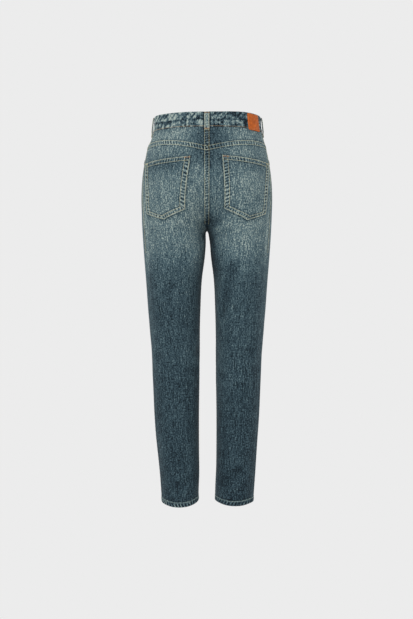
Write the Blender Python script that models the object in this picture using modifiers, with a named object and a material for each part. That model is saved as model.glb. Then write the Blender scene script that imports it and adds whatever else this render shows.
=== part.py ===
"""High-waisted tapered jeans, filled out as if worn.

Lengths are metres and +Z is up. The front faces -Y and the wearer's left is at +X.
The origin is the centre of the waist opening, level with the waistband's top edge.

One half of the garment is a surface over two numbers: a height, and a share of the way
round that half, 0 at the inner line of the front and 1 at the inner line of the back.
The inner line is the centre seam above the crotch and the inseam below it.
Every panel, pocket and band is a piece of that surface, with a wall round it.
"""
import math

import bmesh
import bpy
import numpy as np
from mathutils import Vector

# Heights
WAIST_TOP = 0.0
WAISTBAND_HEIGHT = 0.041
WAIST_SEAM = WAIST_TOP - WAISTBAND_HEIGHT
YOKE_SEAM_CENTRE = -0.0890
YOKE_SEAM_SIDE = -0.0700
LEVEL_BELOW_YOKE = -0.1125
CROTCH = -0.286
HEM = -0.975
HEM_HEIGHT = 0.013

# Walls and gaps
DENIM = 0.0012
BAND = 0.0026
HEM_WALL = 0.0028
LOOP_WALL = 0.0020
LEATHER = 0.0016
GAP = 0.0003
LAP_GAP = 0.0004
FACING_GAP = 0.0007

# Torso: height, half width, depth in front, depth behind
TORSO = (
    (0.012, 0.1350, 0.0905, 0.0905),
    (0.000, 0.1355, 0.0910, 0.0915),
    (-0.041, 0.1397, 0.0955, 0.0980),
    (-0.100, 0.1545, 0.1030, 0.1120),
    (-0.150, 0.1625, 0.1075, 0.1220),
    (-0.200, 0.1655, 0.1100, 0.1265),
    (-0.250, 0.1645, 0.1110, 0.1260),
    (-0.303, 0.1620, 0.1090, 0.1210),
    (-0.360, 0.1580, 0.1030, 0.1120),
    (-0.430, 0.1530, 0.0960, 0.1020),
)
TORSO_SQUARENESS = 2.35
YOKE_SEAM_RISES_OVER = 0.68

# Leg: height, inner edge from the middle, outer edge, depth in front, depth behind
LEG = (
    (-0.160, 0.0000, 0.1635, 0.1050, 0.1180),
    (-0.250, 0.0000, 0.1645, 0.1050, 0.1180),
    (-0.286, 0.0000, 0.1630, 0.1024, 0.1154),
    (-0.345, 0.0050, 0.1592, 0.0960, 0.1070),
    (-0.405, 0.0138, 0.1543, 0.0900, 0.0980),
    (-0.487, 0.0182, 0.1485, 0.0840, 0.0860),
    (-0.589, 0.0204, 0.1398, 0.0780, 0.0730),
    (-0.671, 0.0207, 0.1362, 0.0710, 0.0695),
    (-0.752, 0.0218, 0.1326, 0.0645, 0.0675),
    (-0.834, 0.0217, 0.1268, 0.0580, 0.0640),
    (-0.915, 0.0210, 0.1215, 0.0530, 0.0610),
    (-0.985, 0.0218, 0.1165, 0.0495, 0.0590),
)
LEG_SQUARENESS = 2.2
FORK = 0.0050
FORK_OPENS_OVER = 0.004
LEGS_PART_OVER = 0.045

# How far behind the middle the outseam lies: height, depth
OUTSEAM = (
    (0.012, 0.006),
    (-0.041, 0.012),
    (-0.120, 0.028),
    (-0.240, 0.040),
    (-0.330, 0.042),
    (-0.487, 0.034),
    (-0.671, 0.024),
    (-0.985, 0.014),
)

# Where the centre seams start to turn under, and where the legs' outer sides start and end
FRONT_RISE_TURN = -0.205
BACK_RISE_TURN = -0.150
LEG_ROUNDS_FROM = -0.225
LEG_ROUND_AT = -0.430
SIDE_SHARE = 0.38
SEAM_EASE = 0.10

# Heights between which the panels' upright lines run evenly, past the fork, and how
# closely to the inner line they spread there
GRAIN_LEVELS = (0.012, -0.041, -0.100, -0.150, -0.200, -0.230, -0.350, -0.430, -0.500, -0.589,
                -0.671, -0.752, -0.834, -0.915, -0.985)
FORK_SPREAD = 8

# Fullness pushed out of the plain sections: side, distance from the middle, height,
# half spread across, half spread up, amount
FULLNESS = (
    (+1, 0.078, -0.205, 0.050, 0.070, 0.010),
    (+1, 0.000, -0.190, 0.022, 0.075, -0.004),
    (-1, 0.045, -0.120, 0.070, 0.060, 0.004),
)
FULLNESS_FADES_OVER = 0.05

# Troughs: half (+1 left, -1 right), side (+1 back, -1 front), share from the inner line
# and height of both ends, depth, half width
TROUGHS = (
    (-1, +1, 0.50, -0.380, 0.32, -0.492, 0.0028, 0.013),
    (+1, +1, 0.46, -0.352, 0.62, -0.440, 0.0016, 0.014),
    (+1, +1, 0.08, -0.276, 0.58, -0.262, 0.0022, 0.011),
    (-1, +1, 0.07, -0.271, 0.64, -0.264, 0.0026, 0.012),
    (+1, +1, 0.10, -0.306, 0.44, -0.290, 0.0018, 0.010),
    (-1, +1, 0.12, -0.316, 0.40, -0.296, 0.0015, 0.010),
    (+1, +1, 0.14, -0.592, 0.82, -0.606, 0.0022, 0.013),
    (-1, +1, 0.10, -0.604, 0.74, -0.590, 0.0019, 0.012),
    (+1, +1, 0.22, -0.640, 0.70, -0.628, 0.0014, 0.011),
    (-1, +1, 0.28, -0.650, 0.86, -0.640, 0.0016, 0.012),
    (+1, +1, 0.20, -0.905, 0.60, -0.925, 0.0014, 0.012),
    (-1, +1, 0.62, -0.884, 0.28, -0.922, 0.0018, 0.012),
    (+1, -1, 0.05, -0.247, 0.66, -0.222, 0.0032, 0.010),
    (-1, -1, 0.05, -0.244, 0.72, -0.226, 0.0029, 0.011),
    (+1, -1, 0.06, -0.273, 0.78, -0.268, 0.0026, 0.011),
    (-1, -1, 0.07, -0.275, 0.70, -0.273, 0.0030, 0.010),
    (+1, -1, 0.10, -0.226, 0.52, -0.186, 0.0020, 0.010),
    (-1, -1, 0.08, -0.224, 0.50, -0.190, 0.0017, 0.009),
    (+1, -1, 0.15, -0.560, 0.80, -0.548, 0.0016, 0.013),
    (-1, -1, 0.20, -0.552, 0.84, -0.560, 0.0018, 0.013),
    (+1, -1, 0.18, -0.640, 0.78, -0.652, 0.0018, 0.013),
    (-1, -1, 0.12, -0.655, 0.70, -0.640, 0.0015, 0.012),
)

# Front pocket opening: share of the front where it leaves the waistband, depth at the
# outseam, and the shares of that width where the front's upright lines cross it
SCOOP_FROM = 0.50
SCOOP_DEPTH = 0.070
SCOOP_LINES = (0.08, 0.25, 0.50, 0.75, 1.00)
LINES_BEFORE_SCOOP = 8

# Facing behind that opening: share of the front where it starts and ends, its lower edge
FACING_FROM = 0.42
FACING_TO = 0.999
FACING_BOTTOM = -0.136
FACING_ROWS = 7

# Back pocket corners, left and right as they hang: distance round from the back seam, height
POCKETS = {
    +1: (
        (0.0390, -0.1165),
        (0.0590, -0.2445),
        (0.1230, -0.2685),
        (0.1715, -0.2515),
        (0.1760, -0.1245),
    ),
    -1: (
        (0.0370, -0.1140),
        (0.0475, -0.2420),
        (0.1180, -0.2700),
        (0.1665, -0.2520),
        (0.1790, -0.1240),
    ),
}

# Fly: distances from the centre front, heights, and the columns and rows of its grid, of
# which the first column is the lap
FLY_LAP = 0.008
FLY_WIDTH = 0.037
FLY_STRAIGHT_TO = -0.178
FLY_BOTTOM = -0.212
FLY_COLUMNS = 4
FLY_ROWS = 8
FLY_CORNER = (0, 25, 50, 75)

# Waistband ends, measured from the centre front
UNDERLAP = 0.034
OVERLAP = FLY_LAP
END_STEP = 0.0016
END_RAMP = 0.022

# Belt loops: width, how far they stand off, both ends' heights, length of one bend
LOOP_WIDTH = 0.013
LOOP_SLACK = 0.0050
LOOP_TOP = -0.0015
LOOP_BOTTOM = -0.0505
LOOP_BEND = 0.0085
FRONT_LOOP_FROM_MIDDLE = 0.092

# A loop seen from its edge: end (0 top, 1 bottom), bends away from that end, and 0 on the
# seat to 1 standing off
LOOP_PROFILE = (
    (0, 0.00, 0.00),
    (0, 0.35, 0.15),
    (0, 0.75, 0.85),
    (0, 1.00, 1.00),
    (0, 2.88, 1.13),
    (1, 1.90, 1.00),
    (1, 1.50, 0.85),
    (1, 0.75, 0.12),
    (1, 0.45, 0.00),
    (1, 0.00, 0.00),
)

# Patch: distance round from the back seam, width, heights, and the first of the
# waistband's upright lines that it needs
PATCH_FROM = 0.1020
PATCH_WIDTH = 0.038
PATCH_TOP = -0.0025
PATCH_BOTTOM = -0.0445
PATCH_FIRST_LINE = 10
PATCH_LEVELS = (WAIST_TOP, WAIST_SEAM / 2, WAIST_SEAM, 1.25 * WAIST_SEAM)

# Button, and its profile as shares of its radius and height
BUTTON_RADIUS = 0.0085
BUTTON_HEIGHT = 0.0034
BUTTON_FROM_MIDDLE = 0.012
BUTTON_SIDES = 24
BUTTON_PROFILE = (
    (0.00, 1.00),
    (0.45, 0.97),
    (0.80, 0.80),
    (0.96, 0.55),
    (1.00, 0.35),
    (0.95, 0.12),
    (0.80, 0.00),
    (0.00, 0.00),
)

# Colours
DENIM_COLOUR = "#445a63"
SEAT_COLOUR = "#667a7c"
DARK_COLOUR = "#3c4f58"
LEATHER_COLOUR = "#91512a"
BRASS_COLOUR = "#8a6a45"

# Mesh steps
PANEL_COLUMNS = 12
BAND_COLUMNS = 24
HEM_COLUMNS = 22
ROWS_BELOW_FORK = 24
ROWS_BESIDE_SCOOP = 4
YOKE_ROWS = 3
STEPS_BELOW_CROTCH = (0.0015, 0.004, 0.009, 0.017, 0.029, 0.046)
BACK_ROWS = (-0.1390, -0.1650, -0.1905, -0.2150, -0.2370, -0.2550, -0.2690, -0.2780, -0.2832)
FRONT_ROWS = (-0.1330, -0.1520, -0.1760, -0.2000, -0.2180, -0.2340, -0.2490, -0.2625, -0.2738,
              -0.2809, -0.2846)

# Steps of the table that the shape is read from
TABLE_COLUMNS = 321
TABLE_TOP = 0.012
TABLE_BOTTOM = -0.985
TABLE_STEP = 0.0025
TABLE_RISE_ROWS = 61
TABLE_FORK_ROWS = 16
ROUND_STEPS = 400


def smoothstep(value):
    """0 up to 0, 1 from 1, and an S curve between."""
    value = np.clip(value, 0.0, 1.0)
    return value * value * (3.0 - 2.0 * value)


def along(rows, column, height):
    """A smooth curve through one column of a table, at the given heights."""
    heights = np.array([row[0] for row in rows])
    values = np.array([row[column] for row in rows])
    slopes = np.gradient(values, heights)
    height = np.asarray(height, dtype=float)
    row = np.clip(np.searchsorted(-heights, -height) - 1, 0, len(rows) - 2)
    step = heights[row + 1] - heights[row]
    f = np.clip((height - heights[row]) / step, 0.0, 1.0)
    start = (1 + 2 * f) * (1 - f) ** 2 * values[row] + f * (1 - f) ** 2 * step * slopes[row]
    end = f * f * (3 - 2 * f) * values[row + 1] + f * f * (f - 1) * step * slopes[row + 1]
    return start + end


def spread_evenly(points, shares):
    """Points at the given shares of a line's length."""
    steps = np.hypot(*np.diff(points, axis=0).T)
    walked = np.concatenate(([0.0], np.cumsum(steps)))
    walked /= walked[-1]
    return np.column_stack([np.interp(shares, walked, points[:, k]) for k in (0, 1)])


def rounded(angles, across, front, back, squareness):
    """A rounded section about its own middle, -90 degrees at the front."""
    side, ahead = np.cos(angles), np.sin(angles)
    depth = np.where(ahead < 0.0, front, back)
    reach = (np.abs(side) / across) ** squareness + (np.abs(ahead) / depth) ** squareness
    reach = reach ** (-1.0 / squareness)
    return np.column_stack((reach * side, reach * ahead))


def eased(shares):
    """Shares that start and end slowly, so that a leg leaves the centre seam squarely."""
    half = np.minimum(shares, 1.0 - shares)
    ease = SEAM_EASE
    walked = np.where(half < ease, half * half / (2 * ease), half - ease / 2)
    walked = 0.5 * walked / (0.5 - ease / 2)
    return np.where(shares < 0.5, walked, 1.0 - walked)


def torso_weight(height, shares):
    """How much of the torso's section is left at a height: 1 at the hip, 0 in the leg.

    At the inner lines it falls as a quarter round that ends at the crotch, which is the
    curve of the centre seams. Further round it falls more slowly and ends lower.
    """
    away = np.minimum(shares, 1.0 - shares)
    turn = np.where(shares < 0.5, FRONT_RISE_TURN, BACK_RISE_TURN)
    round_side = smoothstep(away / SIDE_SHARE)
    start = turn + (LEG_ROUNDS_FROM - turn) * round_side
    end = CROTCH + (LEG_ROUND_AT - CROTCH) * round_side
    depth = np.clip((start - height) / (start - end), 0.0, 1.0)
    return (1.0 - depth * depth) ** (0.5 + round_side)


def section(height, shares):
    """Half of the garment's section at one height, front inner line to back inner line."""
    fine = np.linspace(0.0, 1.0, 2 * TABLE_COLUMNS)
    torso = rounded(
        np.linspace(-math.pi / 2, math.pi / 2, ROUND_STEPS),
        along(TORSO, 1, height), along(TORSO, 2, height), along(TORSO, 3, height),
        TORSO_SQUARENESS,
    )
    torso = spread_evenly(torso, fine)
    parted = float(smoothstep((CROTCH - height) / LEGS_PART_OVER))
    inner = max(float(along(LEG, 1, height)), 0.0) * parted
    outer = float(along(LEG, 2, height))
    leg = rounded(
        np.linspace(-math.pi, math.pi, 2 * ROUND_STEPS),
        (outer - inner) / 2, along(LEG, 3, height), along(LEG, 4, height),
        LEG_SQUARENESS,
    )
    leg[:, 0] += (outer + inner) / 2
    leg = spread_evenly(leg, eased(fine))
    points = leg + (torso - leg) * torso_weight(height, fine)[:, None]
    for side, across, level, wide, tall, amount in FULLNESS:
        bell = np.exp(-((points[:, 0] - across) / wide) ** 2 - ((height - level) / tall) ** 2)
        facing = smoothstep(side * points[:, 1] / FULLNESS_FADES_OVER)
        points[:, 1] += side * amount * bell * facing
    fork = FORK * (1.0 - math.exp(-max(CROTCH - height, 0.0) / FORK_OPENS_OVER))
    points[:, 0] = np.hypot(points[:, 0], fork)
    return spread_evenly(points, shares)


def table_heights():
    """Heights of the table's rows, close together where the seams turn under."""
    plain = np.arange(TABLE_TOP, TABLE_BOTTOM, -TABLE_STEP)
    turn = np.sin(np.linspace(0.0, math.pi / 2, TABLE_RISE_ROWS))
    crotch = BACK_RISE_TURN + (CROTCH - BACK_RISE_TURN) * turn
    opening = CROTCH - FORK_OPENS_OVER * np.linspace(0.1, 3.0, TABLE_FORK_ROWS)
    return np.unique(np.concatenate((plain, crotch, opening)))


class HalfShape:
    """The half garment as a table of sections, read between its rows and columns."""

    def __init__(self):
        self.heights = table_heights()
        self.shares = np.linspace(0.0, 1.0, TABLE_COLUMNS)
        rows = [section(height, self.shares) for height in self.heights]
        self.x = np.array([row[:, 0] for row in rows])
        self.y = np.array([row[:, 1] for row in rows])
        steps = np.hypot(np.diff(self.x, axis=1), np.diff(self.y, axis=1))
        self.lengths = steps.sum(axis=1)
        outer = slice(TABLE_COLUMNS // 4, 3 * TABLE_COLUMNS // 4)
        seam = along(OUTSEAM, 1, self.heights)
        self.outseams = np.array([
            np.interp(depth, row[outer], self.shares[outer]) for depth, row in zip(seam, self.y)
        ])

    def length(self, height):
        """Length round one half at a height."""
        return np.interp(height, self.heights, self.lengths)

    def outseam(self, height):
        """Share of the way round at which the outseam lies."""
        return np.interp(height, self.heights, self.outseams)

    def point(self, share, height):
        """Points on the left half, as an array of x, y and z."""
        share, height = np.broadcast_arrays(np.asarray(share, float), np.asarray(height, float))
        row = np.clip(np.searchsorted(self.heights, height) - 1, 0, len(self.heights) - 2)
        up = (height - self.heights[row]) / (self.heights[row + 1] - self.heights[row])
        place = np.clip(share, 0.0, 1.0) * (TABLE_COLUMNS - 1)
        column = np.minimum(place.astype(int), TABLE_COLUMNS - 2)
        on = place - column
        found = []
        for values in (self.x, self.y):
            low = values[row, column] * (1 - on) + values[row, column + 1] * on
            high = values[row + 1, column] * (1 - on) + values[row + 1, column + 1] * on
            found.append(low * (1 - up) + high * up)
        return np.stack((found[0], found[1], height), axis=-1)

    def normal(self, share, height):
        """Outward directions on the left half."""
        share, height = np.broadcast_arrays(np.asarray(share, float), np.asarray(height, float))
        side, rise = 0.004, 0.003
        before, after = np.clip(share - side, 0, 1), np.clip(share + side, 0, 1)
        around = self.point(after, height) - self.point(before, height)
        upwards = self.point(share, height + rise) - self.point(share, height - rise)
        out = np.cross(around, upwards)
        return out / np.linalg.norm(out, axis=-1, keepdims=True)

    def width(self, side, height):
        """Width of the front (-1) or back (+1) panel at a height."""
        seam = self.outseam(height)
        return self.length(height) * (seam if side < 0 else 1.0 - seam)

    def share(self, side, across, height):
        """Share of the way round, from a share of the front (-1) or back (+1) panel.

        The panel's upright lines keep an even distance from the outseam, and only those
        near the inner line spread to reach the curved centre seam.
        """
        width = self.width(side, height)
        rows = [(level, self.width(side, level)) for level in GRAIN_LEVELS]
        even = along(rows, 1, height)
        from_seam = 1.0 - across
        place = 1.0 - (from_seam * even + (width - even) * from_seam ** FORK_SPREAD) / width
        seam = self.outseam(height)
        return place * seam if side < 0 else 1.0 - place * (1.0 - seam)


SHAPE = HalfShape()


def pressed_in(half, points):
    """How deep the troughs are at points of one half, given as on the left."""
    depth = np.zeros(points.shape[:-1])
    for of_half, side, start, start_z, end, end_z, deep, wide in TROUGHS:
        if of_half != half:
            continue
        first = SHAPE.point(SHAPE.share(side, start, start_z), start_z)
        last = SHAPE.point(SHAPE.share(side, end, end_z), end_z)
        way = last - first
        walked = ((points - first) @ way) / (way @ way)
        nearest = first + np.clip(walked, 0.0, 1.0)[..., None] * way
        away = np.linalg.norm(points - nearest, axis=-1)
        depth += deep * np.exp(-((away / wide) ** 2))
    return depth


class Cloth:
    """A grid of points on the garment, with the outward direction at each."""

    def __init__(self, points, normals, half=0, wall=0.0):
        self.points = points
        self.normals = normals
        self.half = half
        self.wall = wall
        self.rows = points.shape[0] - 1
        self.columns = points.shape[1] - 1

    def at(self, place, lift):
        """The point at a place counted in columns and rows, on the flat triangle there."""
        column = min(max(int(math.floor(place[0])), 0), self.columns - 1)
        row = min(max(int(math.floor(place[1])), 0), self.rows - 1)
        right, down = place[0] - column, place[1] - row
        found = []
        for grid in (self.points, self.normals):
            near, far = grid[row, column], grid[row + 1, column + 1]
            corner = grid[row, column + 1] if right >= down else grid[row + 1, column]
            if right >= down:
                found.append(near + right * (corner - near) + down * (far - corner))
            else:
                found.append(near + down * (corner - near) + right * (far - corner))
        return found[0] + lift * found[1]


def half_cloth(half, share, height, wall):
    """Cloth on one half, with its troughs pressed in."""
    points = SHAPE.point(share, height)
    normals = SHAPE.normal(share, height)
    points = points - normals * pressed_in(half, points)[..., None]
    mirror = np.array((half, 1.0, 1.0))
    return Cloth(points * mirror, normals * mirror, half, wall)


def panel_cloth(half, side, height, shares=None):
    """Cloth of a front (-1) or back (+1) panel, half a gap inside its seams."""
    if shares is None:
        shares = np.linspace(0.0, 1.0, height.shape[1])
    edge = GAP / 2 / SHAPE.width(side, height)
    across = edge + shares[None, :] * (1.0 - 2.0 * edge)
    return half_cloth(half, SHAPE.share(side, across, height), height, DENIM)


def wall_mesh(name, cloth, outline=None, lift=0.0, ring=False):
    """The open surface of a piece: a flat grid of triangles, cut out, then laid on the cloth."""
    mesh = bmesh.new()
    bmesh.ops.create_grid(mesh, x_segments=cloth.columns, y_segments=cloth.rows, size=0.5)
    for vertex in mesh.verts:
        vertex.co.x = (vertex.co.x + 0.5) * cloth.columns
        vertex.co.y = (vertex.co.y + 0.5) * cloth.rows
    for face in list(mesh.faces):
        corners = sorted(face.verts, key=lambda vertex: vertex.co.x + vertex.co.y)
        bmesh.utils.face_split(face, corners[0], corners[-1])
    if outline:
        cut_out(mesh, outline)
    for vertex in mesh.verts:
        vertex.co = cloth.at(vertex.co, lift)
    if ring:
        bmesh.ops.remove_doubles(mesh, verts=mesh.verts, dist=0.00001)
    turn_outwards(mesh, cloth)
    if cloth.half:
        keep_clear(mesh, cloth)
    data = bpy.data.meshes.new(name)
    mesh.to_mesh(data)
    mesh.free()
    data.shade_smooth()
    return data


def cut_out(mesh, outline):
    """Keep what lies inside an outline without hollows, its corners in order round it."""
    middle = np.mean(outline, axis=0)
    for start, end in zip(outline, outline[1:] + outline[:1]):
        out = np.array((end[1] - start[1], start[0] - end[0]))
        if out @ (np.array(start) - middle) < 0:
            out = -out
        geometry = mesh.verts[:] + mesh.edges[:] + mesh.faces[:]
        bmesh.ops.bisect_plane(
            mesh, geom=geometry, dist=0.0001, clear_outer=True,
            plane_co=(start[0], start[1], 0.0), plane_no=(out[0], out[1], 0.0),
        )


def turn_outwards(mesh, cloth):
    """Make the faces look the way that the cloth's outside does."""
    mesh.normal_update()
    outwards = np.array(cloth.normals).reshape(-1, 3)
    places = np.array(cloth.points).reshape(-1, 3)
    face = max(mesh.faces, key=lambda candidate: candidate.calc_area())
    nearest = np.argmin(np.linalg.norm(places - np.array(face.calc_center_median()), axis=1))
    if np.array(face.normal) @ outwards[nearest] < 0:
        bmesh.ops.reverse_faces(mesh, faces=mesh.faces)


def keep_clear(mesh, cloth):
    """Hold the wall half a gap away from the other half of the garment."""
    for _ in range(3):
        mesh.normal_update()
        for vertex in mesh.verts:
            clear = GAP / 2 + cloth.wall / 2 * abs(vertex.normal.x)
            vertex.co.x = cloth.half * max(cloth.half * vertex.co.x, clear)


def linear(channel):
    """One sRGB channel, 0 to 255, as linear light."""
    value = channel / 255
    return value / 12.92 if value <= 0.04045 else ((value + 0.055) / 1.055) ** 2.4


def material(name, hex_colour, roughness, metallic=0.0):
    """A plain finish for one piece."""
    finish = bpy.data.materials.new(name)
    finish.use_nodes = True
    shader = finish.node_tree.nodes["Principled BSDF"]
    channels = [int(hex_colour[k:k + 2], 16) for k in (1, 3, 5)]
    shader.inputs["Base Color"].default_value = [linear(c) for c in channels] + [1.0]
    shader.inputs["Roughness"].default_value = roughness
    shader.inputs["Metallic"].default_value = metallic
    return finish


def piece(name, data, collection, colour, wall, grow=0.0, roughness=0.9):
    """An object from an open surface, with its wall; grow is 0 for both sides, 1 for outside."""
    obj = bpy.data.objects.new(name, data)
    data.materials.append(material(name, colour, roughness))
    collection.objects.link(obj)
    solid = obj.modifiers.new("wall", "SOLIDIFY")
    solid.thickness = wall
    solid.offset = grow
    return obj


def yoke_seam(across):
    """Height of the yoke seam at a share of the back, lowest at the centre."""
    rise = YOKE_SEAM_SIDE - YOKE_SEAM_CENTRE
    risen = np.minimum(across / YOKE_SEAM_RISES_OVER, 1.0)
    return YOKE_SEAM_CENTRE + rise * np.sin(risen * math.pi / 2)


def scoop(across):
    """Height of a front's top edge at a share of the front, cut down by the pocket opening."""
    past = np.clip((1.0 - across) / (1.0 - SCOOP_FROM), 0.0, 1.0)
    return WAIST_SEAM - GAP - SCOOP_DEPTH * np.sqrt(1.0 - past * past)


def leg_levels():
    """Heights of a leg's rows from the crotch to the hem band, closest at the fork."""
    near = [CROTCH] + [CROTCH - step for step in STEPS_BELOW_CROTCH]
    bottom = HEM + HEM_HEIGHT + GAP
    return near + list(np.linspace(near[-1], bottom, ROWS_BELOW_FORK + 1)[1:])


BACK_LEVELS = [LEVEL_BELOW_YOKE, *BACK_ROWS, *leg_levels()]
FRONT_LEVELS = [*FRONT_ROWS, *leg_levels()]


def front_shares():
    """Shares of the front's upright lines, closer where the pocket opening falls steeply."""
    before = np.linspace(0.0, SCOOP_FROM, LINES_BEFORE_SCOOP)
    after = SCOOP_FROM + (1.0 - SCOOP_FROM) * np.array(SCOOP_LINES)
    return np.concatenate((before, after))


def panel_heights(top, levels, rows_above):
    """Heights of a panel's grid: rows that follow its top edge, then level rows."""
    level = np.array(levels)[:, None] * np.ones(len(top))
    blend = np.linspace(0.0, 1.0, rows_above + 1)[:-1, None]
    return np.vstack((top[None, :] * (1 - blend) + levels[0] * blend, level))


def front_cloth(half):
    """Cloth of one front."""
    shares = front_shares()
    height = panel_heights(scoop(shares), FRONT_LEVELS, ROWS_BESIDE_SCOOP)
    return panel_cloth(half, -1, height, shares)


def back_cloth(half):
    """Cloth of one back."""
    top = yoke_seam(np.linspace(0.0, 1.0, PANEL_COLUMNS + 1)) - GAP / 2
    height = panel_heights(top, BACK_LEVELS, 1)
    return panel_cloth(half, +1, height)


def yoke_cloth(half):
    """Cloth of one yoke."""
    bottom = yoke_seam(np.linspace(0.0, 1.0, PANEL_COLUMNS + 1)) + GAP / 2
    blend = np.linspace(0.0, 1.0, YOKE_ROWS + 1)[:, None]
    height = (WAIST_SEAM - GAP) * (1 - blend) + bottom[None, :] * blend
    return panel_cloth(half, +1, height)


def facing_cloth(half):
    """Cloth of one front pocket facing, on the front's own upright lines."""
    shares = front_shares()
    shares = np.concatenate(([FACING_FROM], shares[shares > FACING_FROM]))
    rows = np.linspace(WAIST_SEAM - GAP, FACING_BOTTOM, FACING_ROWS)
    height = rows[:, None] * np.ones(len(shares))
    across = shares[None, :] * FACING_TO
    return half_cloth(half, SHAPE.share(-1, across, height), height, DENIM)


def pocket_outline(half):
    """A back pocket's corners, counted in the back's columns and rows."""
    outline = []
    for around, height in POCKETS[half]:
        column = around / SHAPE.width(+1, height) * PANEL_COLUMNS
        row = 1 + np.interp(-height, -np.array(BACK_LEVELS), np.arange(len(BACK_LEVELS)))
        outline.append((float(column), float(row)))
    return outline


def ring_cloth(stops, heights, level=None):
    """Cloth round the waist, through stops given as a half and a distance, with a side step.

    The distances are measured at the given level, or else at each height by itself.
    """
    points, normals = [], []
    for height in heights:
        row_points, row_normals = [], []
        for half, around, step in stops:
            share = around / SHAPE.length(height if level is None else level)
            mirror = np.array((half, 1.0, 1.0))
            out = SHAPE.normal(share, height) * mirror
            row_points.append(SHAPE.point(share, height) * mirror + out * step)
            row_normals.append(out)
        points.append(row_points)
        normals.append(row_normals)
    return Cloth(np.array(points), np.array(normals))


def waistband_stops():
    """Stops along the waistband: from under the overlap, round the back, to over it."""
    half_round = float(SHAPE.length(WAIST_TOP))
    inner = [step * half_round / BAND_COLUMNS for step in range(1, BAND_COLUMNS)]
    stops = [(+1, UNDERLAP, -END_STEP), (+1, UNDERLAP / 2, -END_STEP), (+1, 0.0, -END_STEP)]
    stops.append((-1, OVERLAP + GAP, -END_STEP))
    stops += [(-1, around, -END_STEP * settle(around, OVERLAP)) for around in inner]
    stops.append((+1, half_round, 0.0))
    stops += [(+1, around, END_STEP * settle(around, UNDERLAP)) for around in reversed(inner)]
    stops.append((+1, 0.0, END_STEP))
    stops.append((-1, OVERLAP, END_STEP))
    return stops


def settle(around, start):
    """1 up to a start, then falling to 0 over the ramp."""
    return float(1.0 - smoothstep((around - start) / END_RAMP))


def fly_cloth():
    """Cloth of the fly, on the fronts, from its lap on the right to its curve on the left."""
    stops = [(-1, FLY_LAP, 0.0), (+1, 0.0, 0.0)]
    stops += [(+1, FLY_WIDTH * k / (FLY_COLUMNS - 1), 0.0) for k in range(1, FLY_COLUMNS)]
    return ring_cloth(stops, np.linspace(WAIST_SEAM - GAP, FLY_BOTTOM, FLY_ROWS + 1))


def fly_outline():
    """The fly's outline in its grid, with its lower outer corner rounded off."""
    top = WAIST_SEAM - GAP
    straight = (FLY_STRAIGHT_TO - top) / (FLY_BOTTOM - top) * FLY_ROWS
    outline = [(0, 0), (FLY_COLUMNS, 0)]
    for angle in FLY_CORNER:
        turn = math.radians(angle)
        across = 1 + (FLY_COLUMNS - 1) * math.cos(turn)
        outline.append((across, straight + (FLY_ROWS - straight) * math.sin(turn)))
    outline += [(1, FLY_ROWS), (0, FLY_ROWS)]
    return outline


def loop_cloth(half, around):
    """Cloth of one belt loop: held at both ends, standing off the waistband between them."""
    out = BAND / 2 + LOOP_SLACK + LOOP_WALL / 2
    seats = [wall / 2 + LAP_GAP + LOOP_WALL / 2 for wall in (BAND, DENIM)]
    share = around / SHAPE.length(WAIST_TOP)
    mirror = np.array((half, 1.0, 1.0))
    out_way = SHAPE.normal(share, WAIST_SEAM / 2) * mirror
    side_way = np.cross((0.0, 0.0, 1.0), out_way)
    side_way /= np.linalg.norm(side_way)
    points, normals = [], []
    for end, bends, standing in LOOP_PROFILE:
        height = LOOP_BOTTOM + bends * LOOP_BEND if end else LOOP_TOP - bends * LOOP_BEND
        lift = seats[end] + standing * (out - seats[end])
        base = SHAPE.point(share, height) * mirror + out_way * lift
        points.append([base + side_way * LOOP_WIDTH * part for part in (-0.5, 0.0, 0.5)])
        normals.append([out_way] * 3)
    return Cloth(np.array(points), np.array(normals))


def belt_loops():
    """Name, half and distance from the centre front of each belt loop."""
    half_round = float(SHAPE.length(WAIST_TOP))
    side = half_round * float(SHAPE.outseam(WAIST_TOP))
    return (
        ("belt_loop_back", +1, half_round),
        ("belt_loop_side_left", +1, side),
        ("belt_loop_side_right", -1, side),
        ("belt_loop_front_left", +1, FRONT_LOOP_FROM_MIDDLE),
        ("belt_loop_front_right", -1, FRONT_LOOP_FROM_MIDDLE),
    )


def patch_cloth():
    """Cloth under the patch, on the waistband's own upright lines, on the wearer's right."""
    half_round = float(SHAPE.length(WAIST_TOP))
    lines = range(PATCH_FIRST_LINE, BAND_COLUMNS + 1)
    stops = [(-1, half_round * k / BAND_COLUMNS, 0.0) for k in lines]
    return ring_cloth(stops, PATCH_LEVELS, WAIST_TOP)


def patch_outline():
    """The patch's corners in its grid."""
    half_round = float(SHAPE.length(WAIST_TOP))
    sides = [
        (half_round - around) / half_round * BAND_COLUMNS - PATCH_FIRST_LINE
        for around in (PATCH_FROM, PATCH_FROM + PATCH_WIDTH)
    ]
    levels = [float(np.interp(-height, -np.array(PATCH_LEVELS), range(len(PATCH_LEVELS))))
              for height in (PATCH_TOP, PATCH_BOTTOM)]
    return [(sides[0], levels[0]), (sides[0], levels[1]), (sides[1], levels[1]),
            (sides[1], levels[0])]


def hem_cloth(half):
    """Cloth of one hem band, all the way round the leg."""
    shares = np.linspace(0.0, 1.0, HEM_COLUMNS + 1)[None, :]
    height = np.array((HEM + HEM_HEIGHT, HEM))[:, None] * np.ones(HEM_COLUMNS + 1)
    return half_cloth(half, shares, height, HEM_WALL)


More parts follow.
